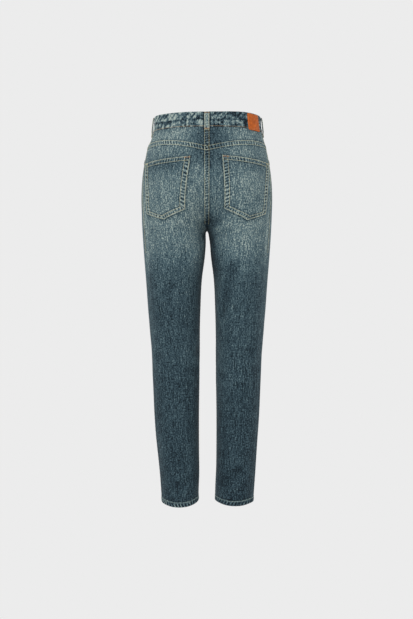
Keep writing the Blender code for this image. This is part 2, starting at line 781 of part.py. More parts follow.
def button(collection):
    """A round domed button, its profile turned about its own axis, facing forwards."""
    mesh = bmesh.new()
    line = [
        mesh.verts.new((across * BUTTON_RADIUS, 0.0, up * BUTTON_HEIGHT))
        for across, up in BUTTON_PROFILE
    ]
    for first, second in zip(line, line[1:]):
        mesh.edges.new((first, second))
    data = bpy.data.meshes.new("button")
    mesh.to_mesh(data)
    mesh.free()
    obj = bpy.data.objects.new("button", data)
    collection.objects.link(obj)
    data.materials.append(material("button", BRASS_COLOUR, 0.35, 1.0))
    turned = obj.modifiers.new("turned", "SCREW")
    turned.steps = BUTTON_SIDES
    turned.render_steps = BUTTON_SIDES
    turned.use_merge_vertices = True
    turned.merge_threshold = 0.00001
    turned.use_smooth_shade = True
    height = WAIST_SEAM / 2
    share = BUTTON_FROM_MIDDLE / float(SHAPE.length(height))
    out = SHAPE.normal(share, height)
    obj.location = SHAPE.point(share, height) + out * (END_STEP + BAND / 2 + LAP_GAP)
    obj.rotation_euler = Vector(out).to_track_quat("Z", "Y").to_euler()


def build():
    """Clear the scene and build every piece."""
    for old in list(bpy.data.objects):
        bpy.data.objects.remove(old, do_unlink=True)
    collection = bpy.data.collections.new("mom_jeans")
    bpy.context.scene.collection.children.link(collection)
    lap = DENIM / 2 + GAP
    for half, word in ((+1, "left"), (-1, "right")):
        back = back_cloth(half)
        data = wall_mesh("front_" + word, front_cloth(half))
        piece("front_" + word, data, collection, DENIM_COLOUR, DENIM)
        data = wall_mesh("back_" + word, back)
        piece("back_" + word, data, collection, DENIM_COLOUR, DENIM)
        data = wall_mesh("yoke_" + word, yoke_cloth(half))
        piece("yoke_" + word, data, collection, SEAT_COLOUR, DENIM)
        data = wall_mesh("back_pocket_" + word, back, outline=pocket_outline(half), lift=lap)
        piece("back_pocket_" + word, data, collection, SEAT_COLOUR, DENIM, grow=1.0)
        data = wall_mesh("pocket_facing_" + word, facing_cloth(half), lift=-DENIM / 2 - FACING_GAP)
        piece("pocket_facing_" + word, data, collection, DARK_COLOUR, DENIM, grow=-1.0)
        data = wall_mesh("hem_" + word, hem_cloth(half), ring=True)
        piece("hem_" + word, data, collection, DARK_COLOUR, HEM_WALL)
    levels = (WAIST_TOP, WAIST_SEAM / 2, WAIST_SEAM)
    band = ring_cloth(waistband_stops(), levels, WAIST_TOP)
    piece("waistband", wall_mesh("waistband", band), collection, SEAT_COLOUR, BAND)
    data = wall_mesh("fly", fly_cloth(), outline=fly_outline(), lift=DENIM / 2 + LAP_GAP)
    piece("fly", data, collection, DENIM_COLOUR, DENIM, grow=1.0)
    for name, half, around in belt_loops():
        data = wall_mesh(name, loop_cloth(half, around))
        piece(name, data, collection, SEAT_COLOUR, LOOP_WALL)
    data = wall_mesh("leather_patch", patch_cloth(), patch_outline(), lift=BAND / 2 + GAP)
    piece("leather_patch", data, collection, LEATHER_COLOUR, LEATHER, grow=1.0, roughness=0.6)
    button(collection)


build()
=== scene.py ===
"""High-waisted tapered jeans in washed denim, filled out as if worn.

Lengths are metres and +Z is up. The front faces -Y and the wearer's left is at +X.
The origin is the centre of the waist opening, level with the waistband's top edge.

One half of the garment is a surface over two numbers: a height, and a share of the way
round that half, 0 at the inner line of the front and 1 at the inner line of the back.
Every cloth piece is a fine grid on that surface, with its seams, puckers and creases
raised or pressed in, and with its wear and its painted shade kept at each point for the
denim's finish.
"""
import math

import bpy
import numpy as np
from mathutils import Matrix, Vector


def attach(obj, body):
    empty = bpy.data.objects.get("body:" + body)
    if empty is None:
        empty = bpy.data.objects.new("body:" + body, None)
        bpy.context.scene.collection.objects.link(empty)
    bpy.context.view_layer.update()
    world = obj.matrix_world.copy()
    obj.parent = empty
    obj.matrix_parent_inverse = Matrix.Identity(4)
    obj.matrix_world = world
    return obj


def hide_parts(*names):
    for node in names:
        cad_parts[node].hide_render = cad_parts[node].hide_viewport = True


bl_info = {
    "name": "Washed Jeans",
    "version": (1, 0, 0),
    "blender": (4, 5, 0),
    "location": "View3D > Sidebar > Jeans",
    "description": "Dresses the solids of a pair of high-waisted jeans in washed denim",
    "category": "Add Mesh",
}

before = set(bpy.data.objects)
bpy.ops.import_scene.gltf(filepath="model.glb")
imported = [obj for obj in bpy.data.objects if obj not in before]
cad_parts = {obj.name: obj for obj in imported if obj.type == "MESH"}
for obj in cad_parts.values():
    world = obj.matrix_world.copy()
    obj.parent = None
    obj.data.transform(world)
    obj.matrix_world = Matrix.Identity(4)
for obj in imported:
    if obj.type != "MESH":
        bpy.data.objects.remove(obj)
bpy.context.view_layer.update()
HALVES = ((+1, "left"), (-1, "right"))

# Heights
WAIST_TOP = 0.0
WAIST_SEAM = -0.041
YOKE_SEAM_CENTRE = -0.0890
YOKE_SEAM_SIDE = -0.0700
YOKE_SEAM_RISES_OVER = 0.68
CROTCH = -0.286
HEM = -0.975
HEM_HEIGHT = 0.013
HEM_TOP = HEM + HEM_HEIGHT

# Walls and gaps
DENIM = 0.0012
BAND = 0.0026
HEM_WALL = 0.0028
LOOP_WALL = 0.0020
LEATHER = 0.0016
GAP = 0.0003
LAP_GAP = 0.0004
FACING_GAP = 0.0007

# Torso: height, half width, depth in front, depth behind
TORSO = (
    (0.012, 0.1350, 0.0905, 0.0905),
    (0.000, 0.1355, 0.0910, 0.0915),
    (-0.041, 0.1397, 0.0955, 0.0980),
    (-0.100, 0.1545, 0.1030, 0.1120),
    (-0.150, 0.1625, 0.1075, 0.1220),
    (-0.200, 0.1655, 0.1100, 0.1265),
    (-0.250, 0.1645, 0.1110, 0.1260),
    (-0.303, 0.1620, 0.1090, 0.1210),
    (-0.360, 0.1580, 0.1030, 0.1120),
    (-0.430, 0.1530, 0.0960, 0.1020),
)
TORSO_SQUARENESS = 2.35

# Leg: height, inner edge from the middle, outer edge, depth in front, depth behind
LEG = (
    (-0.160, 0.0000, 0.1635, 0.1050, 0.1180),
    (-0.250, 0.0000, 0.1645, 0.1050, 0.1180),
    (-0.286, 0.0000, 0.1630, 0.1024, 0.1154),
    (-0.345, 0.0050, 0.1592, 0.0960, 0.1070),
    (-0.405, 0.0138, 0.1543, 0.0900, 0.0980),
    (-0.487, 0.0182, 0.1485, 0.0840, 0.0860),
    (-0.589, 0.0204, 0.1398, 0.0780, 0.0730),
    (-0.671, 0.0207, 0.1362, 0.0710, 0.0695),
    (-0.752, 0.0218, 0.1326, 0.0645, 0.0675),
    (-0.834, 0.0217, 0.1268, 0.0580, 0.0640),
    (-0.915, 0.0210, 0.1215, 0.0530, 0.0610),
    (-0.985, 0.0218, 0.1165, 0.0495, 0.0590),
)
LEG_SQUARENESS = 2.2
FORK = 0.0050
FORK_OPENS_OVER = 0.004
LEGS_PART_OVER = 0.045

# How far behind the middle the outseam lies: height, depth
OUTSEAM = (
    (0.012, 0.006),
    (-0.041, 0.012),
    (-0.120, 0.028),
    (-0.240, 0.040),
    (-0.330, 0.042),
    (-0.487, 0.034),
    (-0.671, 0.024),
    (-0.985, 0.014),
)

# Where the centre seams turn under, and where the legs' outer sides start and end
FRONT_RISE_TURN = -0.205
BACK_RISE_TURN = -0.150
LEG_ROUNDS_FROM = -0.225
LEG_ROUND_AT = -0.430
SIDE_SHARE = 0.38
SEAM_EASE = 0.10
GRAIN_LEVELS = (0.012, -0.041, -0.100, -0.150, -0.200, -0.230, -0.350, -0.430, -0.500, -0.589,
                -0.671, -0.752, -0.834, -0.915, -0.985)
FORK_SPREAD = 8

# Fullness: side, distance from the middle, height, half spread across and up, amount
FULLNESS = (
    (+1, 0.078, -0.205, 0.050, 0.070, 0.010),
    (+1, 0.000, -0.190, 0.022, 0.075, -0.004),
    (-1, 0.045, -0.120, 0.070, 0.060, 0.004),
)
FULLNESS_FADES_OVER = 0.05

# Troughs: half (+1 left, -1 right), side (+1 back, -1 front), share from the inner line
# and height of both ends, depth, half width
TROUGHS = (
    (-1, +1, 0.50, -0.380, 0.32, -0.492, 0.0028, 0.013),
    (+1, +1, 0.46, -0.352, 0.62, -0.440, 0.0016, 0.014),
    (+1, +1, 0.08, -0.276, 0.58, -0.262, 0.0022, 0.011),
    (-1, +1, 0.07, -0.271, 0.64, -0.264, 0.0026, 0.012),
    (+1, +1, 0.10, -0.306, 0.44, -0.290, 0.0018, 0.010),
    (-1, +1, 0.12, -0.316, 0.40, -0.296, 0.0015, 0.010),
    (+1, +1, 0.14, -0.592, 0.82, -0.606, 0.0022, 0.013),
    (-1, +1, 0.10, -0.604, 0.74, -0.590, 0.0019, 0.012),
    (+1, +1, 0.22, -0.640, 0.70, -0.628, 0.0014, 0.011),
    (-1, +1, 0.28, -0.650, 0.86, -0.640, 0.0016, 0.012),
    (+1, +1, 0.20, -0.905, 0.60, -0.925, 0.0014, 0.012),
    (-1, +1, 0.62, -0.884, 0.28, -0.922, 0.0018, 0.012),
    (+1, -1, 0.05, -0.247, 0.66, -0.222, 0.0032, 0.010),
    (-1, -1, 0.05, -0.244, 0.72, -0.226, 0.0029, 0.011),
    (+1, -1, 0.06, -0.273, 0.78, -0.268, 0.0026, 0.011),
    (-1, -1, 0.07, -0.275, 0.70, -0.273, 0.0030, 0.010),
    (+1, -1, 0.10, -0.226, 0.52, -0.186, 0.0020, 0.010),
    (-1, -1, 0.08, -0.224, 0.50, -0.190, 0.0017, 0.009),
    (+1, -1, 0.15, -0.560, 0.80, -0.548, 0.0016, 0.013),
    (-1, -1, 0.20, -0.552, 0.84, -0.560, 0.0018, 0.013),
    (+1, -1, 0.18, -0.640, 0.78, -0.652, 0.0018, 0.013),
    (-1, -1, 0.12, -0.655, 0.70, -0.640, 0.0015, 0.012),
)

# Finer creases, with the same columns
CREASES = (
    (+1, +1, 0.06, -0.250, 0.30, -0.268, 0.0007, 0.005),
    (-1, +1, 0.05, -0.255, 0.28, -0.278, 0.0009, 0.005),
    (+1, +1, 0.05, -0.288, 0.24, -0.320, 0.0008, 0.005),
    (-1, +1, 0.06, -0.294, 0.26, -0.335, 0.0010, 0.006),
    (-1, +1, 0.10, -0.340, 0.22, -0.400, 0.0009, 0.007),
    (+1, +1, 0.12, -0.350, 0.20, -0.410, 0.0006, 0.007),
    (+1, +1, 0.30, -0.562, 0.66, -0.572, 0.0007, 0.007),
    (-1, +1, 0.34, -0.570, 0.60, -0.562, 0.0006, 0.006),
    (+1, +1, 0.36, -0.672, 0.62, -0.664, 0.0006, 0.007),
    (-1, +1, 0.24, -0.684, 0.58, -0.676, 0.0007, 0.007),
    (+1, +1, 0.55, -0.770, 0.72, -0.812, 0.0006, 0.008),
    (-1, +1, 0.44, -0.742, 0.30, -0.800, 0.0006, 0.008),
    (-1, +1, 0.66, -0.930, 0.50, -0.955, 0.0008, 0.006),
    (+1, +1, 0.34, -0.940, 0.48, -0.958, 0.0007, 0.006),
    (+1, -1, 0.05, -0.222, 0.36, -0.190, 0.0008, 0.005),
    (-1, -1, 0.05, -0.220, 0.34, -0.194, 0.0007, 0.005),
    (+1, -1, 0.05, -0.262, 0.40, -0.250, 0.0010, 0.005),
    (-1, -1, 0.05, -0.261, 0.38, -0.254, 0.0009, 0.005),
    (+1, -1, 0.08, -0.310, 0.44, -0.306, 0.0009, 0.006),
    (-1, -1, 0.08, -0.312, 0.40, -0.304, 0.0008, 0.006),
    (+1, -1, 0.24, -0.590, 0.70, -0.600, 0.0008, 0.008),
    (-1, -1, 0.30, -0.604, 0.78, -0.592, 0.0007, 0.008),
    (+1, -1, 0.40, -0.690, 0.66, -0.700, 0.0006, 0.008),
    (-1, -1, 0.36, -0.702, 0.60, -0.690, 0.0006, 0.008),
    (+1, -1, 0.30, -0.930, 0.52, -0.948, 0.0008, 0.007),
    (-1, -1, 0.44, -0.926, 0.66, -0.950, 0.0007, 0.007),
)

# Wear of a seam's puckers: rubbed paler on their tops, and darker in their hollows, where it is
# unworn indigo with painted shade
PUCKER_LIGHT = 0.25
PUCKER_DARK = 0.62

# A crease's rims: their height as a share of its depth; and for each metre of its depth, how
# much lighter the rims are, rubbed and with a painted highlight, and how much darker the
# bottom is with painted shade
CREASE_RIM = 0.30
CREASE_RIM_WEAR_AND_HIGHLIGHT = 18.0
CREASE_PAINTED_SHADE = 45.0

# Wear and painted shade stay between these, and puckers that a stitch row draws in fade over
# this distance
WEAR_AND_SHADE_LIMITS = (0.02, 0.98)
DRAWN_IN = 0.006

# Wash: height, wear of the back, wear of the front; 0 is unworn indigo and 1 is nearly white
WASH = (
    (0.012, 0.60, 0.48),
    (-0.041, 0.69, 0.50),
    (-0.100, 0.65, 0.52),
    (-0.200, 0.635, 0.58),
    (-0.300, 0.63, 0.62),
    (-0.341, 0.585, 0.61),
    (-0.366, 0.50, 0.58),
    (-0.392, 0.425, 0.54),
    (-0.417, 0.37, 0.50),
    (-0.455, 0.345, 0.44),
    (-0.596, 0.305, 0.39),
    (-0.778, 0.255, 0.29),
    (-0.915, 0.215, 0.24),
    (-0.985, 0.21, 0.225),
)

# Places made lighter or darker, a few of them painted shadow and painted light as marked: half
# (0 both), side, distance from the inner line, height, half spread across and up, amount
LIGHTER_AND_DARKER_PLACES = (
    (0, +1, 0.000, -0.070, 0.040, 0.036, -0.36),
    (-1, +1, 0.034, -0.062, 0.034, 0.028, -0.10),
    (-1, +1, 0.110, -0.072, 0.060, 0.026, -0.06),
    (+1, +1, 0.105, -0.062, 0.045, 0.020, 0.06),
    (0, +1, 0.000, -0.118, 0.034, 0.022, -0.24),
    (0, +1, 0.110, -0.135, 0.075, 0.018, -0.13),
    (-1, +1, 0.020, -0.190, 0.026, 0.070, -0.07),
    (+1, +1, 0.115, -0.142, 0.060, 0.034, -0.09),
    (0, +1, 0.098, -0.205, 0.050, 0.045, 0.05),
    (-1, +1, 0.110, -0.180, 0.045, 0.050, 0.05),
    (+1, +1, 0.036, -0.238, 0.036, 0.034, 0.10),
    (-1, +1, 0.040, -0.236, 0.034, 0.030, 0.04),
    # Painted shadow where the centre seam turns under, just above the crotch, in these two
    (0, +1, 0.000, -0.266, 0.013, 0.030, -0.26),
    (0, +1, 0.000, -0.276, 0.008, 0.014, -0.30),
    (-1, +1, 0.046, -0.335, 0.034, 0.058, -0.40),
    (-1, +1, 0.036, -0.270, 0.026, 0.030, -0.16),
    # Painted light on both legs' inner edges just below the crotch, in these two
    (+1, +1, 0.006, -0.330, 0.014, 0.070, 0.15),
    (-1, +1, 0.002, -0.350, 0.007, 0.070, 0.12),
    (-1, +1, 0.135, -0.315, 0.045, 0.045, 0.06),
    (-1, +1, 0.100, -0.378, 0.060, 0.026, -0.085),
    (+1, +1, 0.090, -0.305, 0.070, 0.040, -0.05),
    (+1, +1, 0.080, -0.345, 0.030, 0.050, 0.03),
    (0, -1, 0.000, -0.120, 0.030, 0.120, -0.08),
    (0, -1, 0.080, -0.330, 0.060, 0.110, 0.10),
    (0, -1, 0.030, -0.320, 0.022, 0.055, -0.16),
    # Painted light on the legs' inner edges in front, just below the crotch
    (0, -1, 0.000, -0.350, 0.012, 0.080, 0.14),
    (0, -1, 0.090, -0.600, 0.050, 0.055, 0.07),
)

# Front pocket opening: share of the front where it leaves the waistband, depth at the side
SCOOP_FROM = 0.50
SCOOP_DEPTH = 0.070
SCOOP_ROWS = (0.0020, 0.0085)
SCOOP_EDGES = (-0.0010, 0.0098)
SCOOP_ROW_TO = 0.999
FACING_FROM = 0.42
FACING_TO = 0.999
FACING_BOTTOM = -0.136

# Back pocket corners: distance round from the back seam, height; and for each edge from
# one to the next, how far inside it its two stitch rows run
POCKETS = {
    +1: (
        (0.0390, -0.1165),
        (0.0590, -0.2445),
        (0.1230, -0.2685),
        (0.1715, -0.2515),
        (0.1760, -0.1245),
    ),
    -1: (
        (0.0370, -0.1140),
        (0.0475, -0.2420),
        (0.1180, -0.2700),
        (0.1665, -0.2520),
        (0.1790, -0.1240),
    ),
}
POCKET_ROWS = (
    (0.0018, 0.0125),
    (0.0018, 0.0085),
    (0.0018, 0.0085),
    (0.0018, 0.0120),
    (0.0018, 0.0105),
)
POCKET_PITCHES = (0.0080, 0.0068, 0.0068, 0.0080, 0.0066)
POCKET_FULLNESS = 0.0012
POCKET_TOP_INSET = 0.0008
TOP_ROW_INSET = 0.0022

# How the garment hangs off true: the inner lines' shift below the crotch, left and right,
# the left hem's shift inwards and down, the hems' lift at the inseams and outseams, and the
# waist's lean on the left, its dip behind and its lift behind on the right
INNER_SHIFTS = (-0.0018, -0.0040)
INNER_SPREAD = 0.045
HEM_SHIFT = -0.0040
HEM_DROP = -0.0034
HEM_LIFT = 0.0055
HEM_OUTER_LIFT = 0.0036
WAIST_LEAN = -0.0040
WAIST_DIP = -0.0030
WAIST_TILT = 0.0030

# Seams: how far each stitch row runs from the seam line, and where the folded layers start
# and end
BACK_SEAM_ROWS = (-0.0052, 0.0052)
BACK_SEAM_EDGES = (-0.0066, 0.0066)
YOKE_ROWS = (0.0024, 0.0122)
YOKE_EDGES = (0.0, 0.0138)
OUTSEAM_STITCH = 0.0095
OUTSEAM_STITCH_TO = -0.345
OUTSEAM_FOLD = 0.0110
WAIST_STITCH = 0.0024
HEM_STITCH = 0.0018

# Where stitch rows start below the seam above them, and stop above the crotch
ROW_START = 0.001
FLY_ROW_START = 0.002
SEAM_ROW_STOPS = 0.012

# Fly: distances from the centre front, and heights
FLY_LAP = 0.008
FLY_WIDTH = 0.037
FLY_STRAIGHT_TO = -0.178
FLY_BOTTOM = -0.212
FLY_ROWS_IN = (0.0030, 0.0092)

# Waistband ends, measured from the centre front
UNDERLAP = 0.034
OVERLAP = FLY_LAP
END_STEP = 0.0016
END_RAMP = 0.022

# Belt loops: width, how far they stand off once worn flat, the painted shadow beside and below
# them, both ends' heights, length of one bend, the groove where the folds meet, how far the
# stitch rows run inside the edges, the wear of the loops and of the two at the sides
LOOP_WIDTH = 0.013
LOOP_EASE = 0.0018
LOOP_PAINTED_SHADOW = -0.60
LOOP_TOP = -0.0015
LOOP_BOTTOM = -0.0505
LOOP_BEND = 0.0085
LOOP_GROOVE = 0.0022
LOOP_ROW_INSET = 0.0022
LOOP_WEAR = 0.86
SIDE_LOOP_WEAR = 0.62
FRONT_LOOP_FROM_MIDDLE = 0.092

# A loop seen from its edge: end (0 top, 1 bottom), bends away from that end, and 0 on the
# seat to 1 standing off
LOOP_PROFILE = (
    (0, 0.00, 0.00),
    (0, 0.35, 0.15),
    (0, 0.75, 0.85),
    (0, 1.00, 1.00),
    (0, 2.88, 1.13),
    (1, 1.90, 1.00),
    (1, 1.50, 0.85),
    (1, 0.75, 0.12),
    (1, 0.45, 0.00),
    (1, 0.00, 0.00),
)

# Patch: distance round from the back seam, width, heights
PATCH_FROM = 0.1020
PATCH_WIDTH = 0.038
PATCH_TOP = -0.0025
PATCH_BOTTOM = -0.0445
PATCH_CORNER = 0.0022
PATCH_STITCH = 0.0026

# Button, and its profile as shares of its radius and height
BUTTON_RADIUS = 0.0085
BUTTON_HEIGHT = 0.0034
BUTTON_FROM_MIDDLE = 0.012
BUTTON_SIDES = 48
BUTTON_PROFILE = (
    (0.00, 0.86),
    (0.30, 0.86),
    (0.36, 0.80),
    (0.46, 0.80),
    (0.52, 0.88),
    (0.70, 0.90),
    (0.76, 0.98),
    (0.86, 1.00),
    (0.95, 0.84),
    (1.00, 0.52),
    (0.98, 0.22),
    (0.90, 0.04),
    (0.80, 0.00),
    (0.00, 0.00),
)

# Thread: how far it lies above the cloth, how much stitches lean; bar tacks' widths and
# radius, and the fly's two tacks: distances from the centre front, heights
THREAD_LIFT = 0.00022
STITCH_LEAN = 0.10
TACK_RADIUS = 0.00042
POCKET_TACK_WIDTH = 0.0030
FLY_TACK_WIDTH = 0.0020
LOOP_TACK_WIDTH = 0.0022
FLY_TACKS = (
    ((0.0035, 0.0115), (FLY_BOTTOM + 0.0035, FLY_BOTTOM + 0.0050)),
    ((0.0260, 0.0335), (-0.182, -0.176)),
)
BUTTONHOLE_TURNS = 74

# The colour that each thread takes
THREADS = {
    "sand thread": "thread",
    "tan thread": "waist_thread",
    "grey thread": "hem_thread",
    "orange thread": "bar_tack",
}

# Twill: its lines' slant in radians, and their pitch
TWILL_SLANT = -0.46
TWILL_PITCH = 0.0017

# Mesh steps, and the heights where rows that follow a panel's top edge turn level
FRONT_PLAIN_LINES = 56
FRONT_SCOOP_LINES = 44
FRONT_LEVEL = -0.1330
FRONT_BLEND_ROWS = 30
BACK_LINES = 124
BACK_EDGE_SPACING = 0.22
BACK_LEVEL = -0.1125
BACK_BLEND_ROWS = 22
YOKE_ROWS_DOWN = 24
POCKET_LINES = 92
POCKET_ROWS_DOWN = 84
POCKET_EDGE_SPACING = 0.35
HEM_LINES = 220
BAND_STEP = 0.0024
BAND_LEVELS = 21
BAND_BEVEL = 0.0009
HEM_LEVELS = 9
FACING_GRID = (36, 45)
FLY_GRID = (52, 26, 25)
LAID_BEVEL = 0.0004
LOOP_GRID = (64, 15)
LOOP_BEVEL = 0.0006
LOOP_STITCH_POINTS = 56
PATCH_LINES = 37
SCOOP_STITCH_POINTS = 110
FLY_STITCH_POINTS = 46
SHARP_FROM = 50
ROW_STEP = 0.0030
TABLE_COLUMNS = 321
TABLE_TOP = 0.012
TABLE_BOTTOM = -0.985
TABLE_STEP = 0.0025
ROUND_STEPS = 400
NOISE_CELLS = 64
STITCH_POINT_STEP = 0.0012

# Ease: how much longer the cut cloth is than the shape that it takes, across a panel and down it
EASE_ACROSS = 1.02
EASE_DOWN = 1.04

# Stage and camera: how the photo's frame fits the garment
FLOOR = -1.30
IMAGE_ROWS = 619
MILLIMETRES_A_PIXEL = 2.55
EYE_HEIGHT = -0.487
EYE_DISTANCE = 2.20
EYE_ASIDE = 0.0008
SENSOR = 36.0
FLOOR_HALF = 14.0
SKY_COLOUR = (0.95, 0.98, 1.0, 1.0)
SKY_STRENGTH = 0.50

# Lights: name, azimuth, elevation, strength, spread; angles in degrees
LIGHTS = (
    ("key", 38, 34, 0.45, 32),
    ("fill", -52, 18, 0.20, 50),
    ("front_key", 146, 34, 0.40, 36),
    ("front_fill", -140, 18, 0.20, 50),
)


# ---------------------------------------------------------------- numbers


def linear(channel):
    """One sRGB channel, 0 to 255, as linear light."""
    value = channel / 255
    return value / 12.92 if value <= 0.04045 else ((value + 0.055) / 1.055) ** 2.4


def colour(hex_colour):
    """A hex colour as three linear channels."""
    return tuple(linear(int(hex_colour[k:k + 2], 16)) for k in (1, 3, 5))


def smoothstep(value):
    """0 up to 0, 1 from 1, and an S curve between."""
    value = np.clip(value, 0.0, 1.0)
    return value * value * (3.0 - 2.0 * value)


def bell(distance, half_width):
    """1 at no distance, falling softly to 0."""
    return np.exp(-((distance / half_width) ** 2))


def same_shape(*values):
    """Numbers or arrays as arrays of one shape."""
    return np.broadcast_arrays(*(np.asarray(value, float) for value in values))


def noise(u, v, seed):
    """Smooth noise from -1 to 1 over two coordinates counted in cells."""
    u, v = same_shape(u, v)
    table = np.random.default_rng(seed).uniform(-1.0, 1.0, (NOISE_CELLS, NOISE_CELLS))
    column, row = np.floor(u).astype(int), np.floor(v).astype(int)
    f, g = smoothstep(u - column), smoothstep(v - row)
    column, row = column % NOISE_CELLS, row % NOISE_CELLS
    right, down = (column + 1) % NOISE_CELLS, (row + 1) % NOISE_CELLS
    first = table[column, row] * (1 - f) + table[right, row] * f
    second = table[column, down] * (1 - f) + table[right, down] * f
    return first * (1 - g) + second * g


def along(rows, column, height):
    """A smooth curve through one column of a table, at the given heights."""
    heights = np.array([row[0] for row in rows])
    values = np.array([row[column] for row in rows])
    slopes = np.gradient(values, heights)
    height = np.asarray(height, dtype=float)
    row = np.clip(np.searchsorted(-heights, -height) - 1, 0, len(rows) - 2)
    step = heights[row + 1] - heights[row]
    f = np.clip((height - heights[row]) / step, 0.0, 1.0)
    start = (1 + 2 * f) * (1 - f) ** 2 * values[row] + f * (1 - f) ** 2 * step * slopes[row]
    end = f * f * (3 - 2 * f) * values[row + 1] + f * f * (f - 1) * step * slopes[row + 1]
    return start + end


# ---------------------------------------------------------------- the garment's form


def spread_evenly(points, shares):
    """Points at the given shares of a line's length."""
    steps = np.hypot(*np.diff(points, axis=0).T)
    walked = np.concatenate(([0.0], np.cumsum(steps)))
    walked /= walked[-1]
    return np.column_stack([np.interp(shares, walked, points[:, k]) for k in (0, 1)])


def rounded(angles, across, front, back, squareness):
    """A rounded section about its own middle, -90 degrees at the front."""
    side, ahead = np.cos(angles), np.sin(angles)
    depth = np.where(ahead < 0.0, front, back)
    reach = (np.abs(side) / across) ** squareness + (np.abs(ahead) / depth) ** squareness
    reach = reach ** (-1.0 / squareness)
    return np.column_stack((reach * side, reach * ahead))


def eased(shares):
    """Shares that start and end slowly, so that a leg leaves the centre seam squarely."""
    half = np.minimum(shares, 1.0 - shares)
    walked = np.where(half < SEAM_EASE, half * half / (2 * SEAM_EASE), half - SEAM_EASE / 2)
    walked = 0.5 * walked / (0.5 - SEAM_EASE / 2)
    return np.where(shares < 0.5, walked, 1.0 - walked)


def torso_weight(height, shares):
    """How much of the torso's section is left at a height: 1 at the hip, 0 in the leg."""
    away = np.minimum(shares, 1.0 - shares)
    turn = np.where(shares < 0.5, FRONT_RISE_TURN, BACK_RISE_TURN)
    round_side = smoothstep(away / SIDE_SHARE)
    start = turn + (LEG_ROUNDS_FROM - turn) * round_side
    end = CROTCH + (LEG_ROUND_AT - CROTCH) * round_side
    depth = np.clip((start - height) / (start - end), 0.0, 1.0)
    return (1.0 - depth * depth) ** (0.5 + round_side)


def section(height, shares):
    """Half of the garment's section at one height, front inner line to back inner line."""
    fine = np.linspace(0.0, 1.0, 2 * TABLE_COLUMNS)
    torso = rounded(
        np.linspace(-math.pi / 2, math.pi / 2, ROUND_STEPS),
        along(TORSO, 1, height), along(TORSO, 2, height), along(TORSO, 3, height),
        TORSO_SQUARENESS,
    )
    torso = spread_evenly(torso, fine)
    parted = float(smoothstep((CROTCH - height) / LEGS_PART_OVER))
    inner = max(float(along(LEG, 1, height)), 0.0) * parted
    outer = float(along(LEG, 2, height))
    leg = rounded(
        np.linspace(-math.pi, math.pi, 2 * ROUND_STEPS),
        (outer - inner) / 2, along(LEG, 3, height), along(LEG, 4, height),
        LEG_SQUARENESS,
    )
    leg[:, 0] += (outer + inner) / 2
    leg = spread_evenly(leg, eased(fine))
    points = leg + (torso - leg) * torso_weight(height, fine)[:, None]
    for side, across, level, wide, tall, amount in FULLNESS:
        full = bell(points[:, 0] - across, wide) * bell(height - level, tall)
        facing = smoothstep(side * points[:, 1] / FULLNESS_FADES_OVER)
        points[:, 1] += side * amount * full * facing
    fork = FORK * (1.0 - math.exp(-max(CROTCH - height, 0.0) / FORK_OPENS_OVER))
    points[:, 0] = np.hypot(points[:, 0], fork)
    return spread_evenly(points, shares)


def table_heights():
    """Heights of the table's rows, close together where the seams turn under."""
    plain = np.arange(TABLE_TOP, TABLE_BOTTOM, -TABLE_STEP)
    turn = np.sin(np.linspace(0.0, math.pi / 2, 61))
    crotch = BACK_RISE_TURN + (CROTCH - BACK_RISE_TURN) * turn
    opening = CROTCH - FORK_OPENS_OVER * np.linspace(0.1, 3.0, 16)
    return np.unique(np.concatenate((plain, crotch, opening)))


class HalfShape:
    """The half garment as a table of sections, read between its rows and columns."""

    def __init__(self):
        self.heights = table_heights()
        self.shares = np.linspace(0.0, 1.0, TABLE_COLUMNS)
        rows = [section(height, self.shares) for height in self.heights]
        self.x = np.array([row[:, 0] for row in rows])
        self.y = np.array([row[:, 1] for row in rows])
        steps = np.hypot(np.diff(self.x, axis=1), np.diff(self.y, axis=1))
        self.lengths = steps.sum(axis=1)
        outer = slice(TABLE_COLUMNS // 4, 3 * TABLE_COLUMNS // 4)
        seam = along(OUTSEAM, 1, self.heights)
        self.outseams = np.array([
            np.interp(depth, row[outer], self.shares[outer]) for depth, row in zip(seam, self.y)
        ])

    def length(self, height):
        """Length round one half at a height."""
        return np.interp(height, self.heights, self.lengths)

    def outseam(self, height):
        """Share of the way round at which the outseam lies."""
        return np.interp(height, self.heights, self.outseams)

    def point(self, share, height):
        """Points on the left half, as an array of x, y and z."""
        share, height = same_shape(share, height)
        row = np.clip(np.searchsorted(self.heights, height) - 1, 0, len(self.heights) - 2)
        up = (height - self.heights[row]) / (self.heights[row + 1] - self.heights[row])
        place = np.clip(share, 0.0, 1.0) * (TABLE_COLUMNS - 1)
        column = np.minimum(place.astype(int), TABLE_COLUMNS - 2)
        on = place - column
        found = []
        for values in (self.x, self.y):
            low = values[row, column] * (1 - on) + values[row, column + 1] * on
            high = values[row + 1, column] * (1 - on) + values[row + 1, column + 1] * on
            found.append(low * (1 - up) + high * up)
        return np.stack((found[0], found[1], height), axis=-1)

    def normal(self, share, height):
        """Outward directions on the left half."""
        share, height = same_shape(share, height)
        side, rise = 0.004, 0.003
        before, after = np.clip(share - side, 0, 1), np.clip(share + side, 0, 1)
        around = self.point(after, height) - self.point(before, height)
        upwards = self.point(share, height + rise) - self.point(share, height - rise)
        out = np.cross(around, upwards)
        return out / np.linalg.norm(out, axis=-1, keepdims=True)

    def width(self, side, height):
        """Width of the front (-1) or back (+1) panel at a height."""
        seam = self.outseam(height)
        return self.length(height) * (seam if side < 0 else 1.0 - seam)

    def share(self, side, across, height):
        """Share of the way round, from a share of the front (-1) or back (+1) panel."""
        width = self.width(side, height)
        rows = [(level, self.width(side, level)) for level in GRAIN_LEVELS]
        even = along(rows, 1, height)
        from_seam = 1.0 - across
        place = 1.0 - (from_seam * even + (width - even) * from_seam ** FORK_SPREAD) / width
        seam = self.outseam(height)
        return place * seam if side < 0 else 1.0 - place * (1.0 - seam)


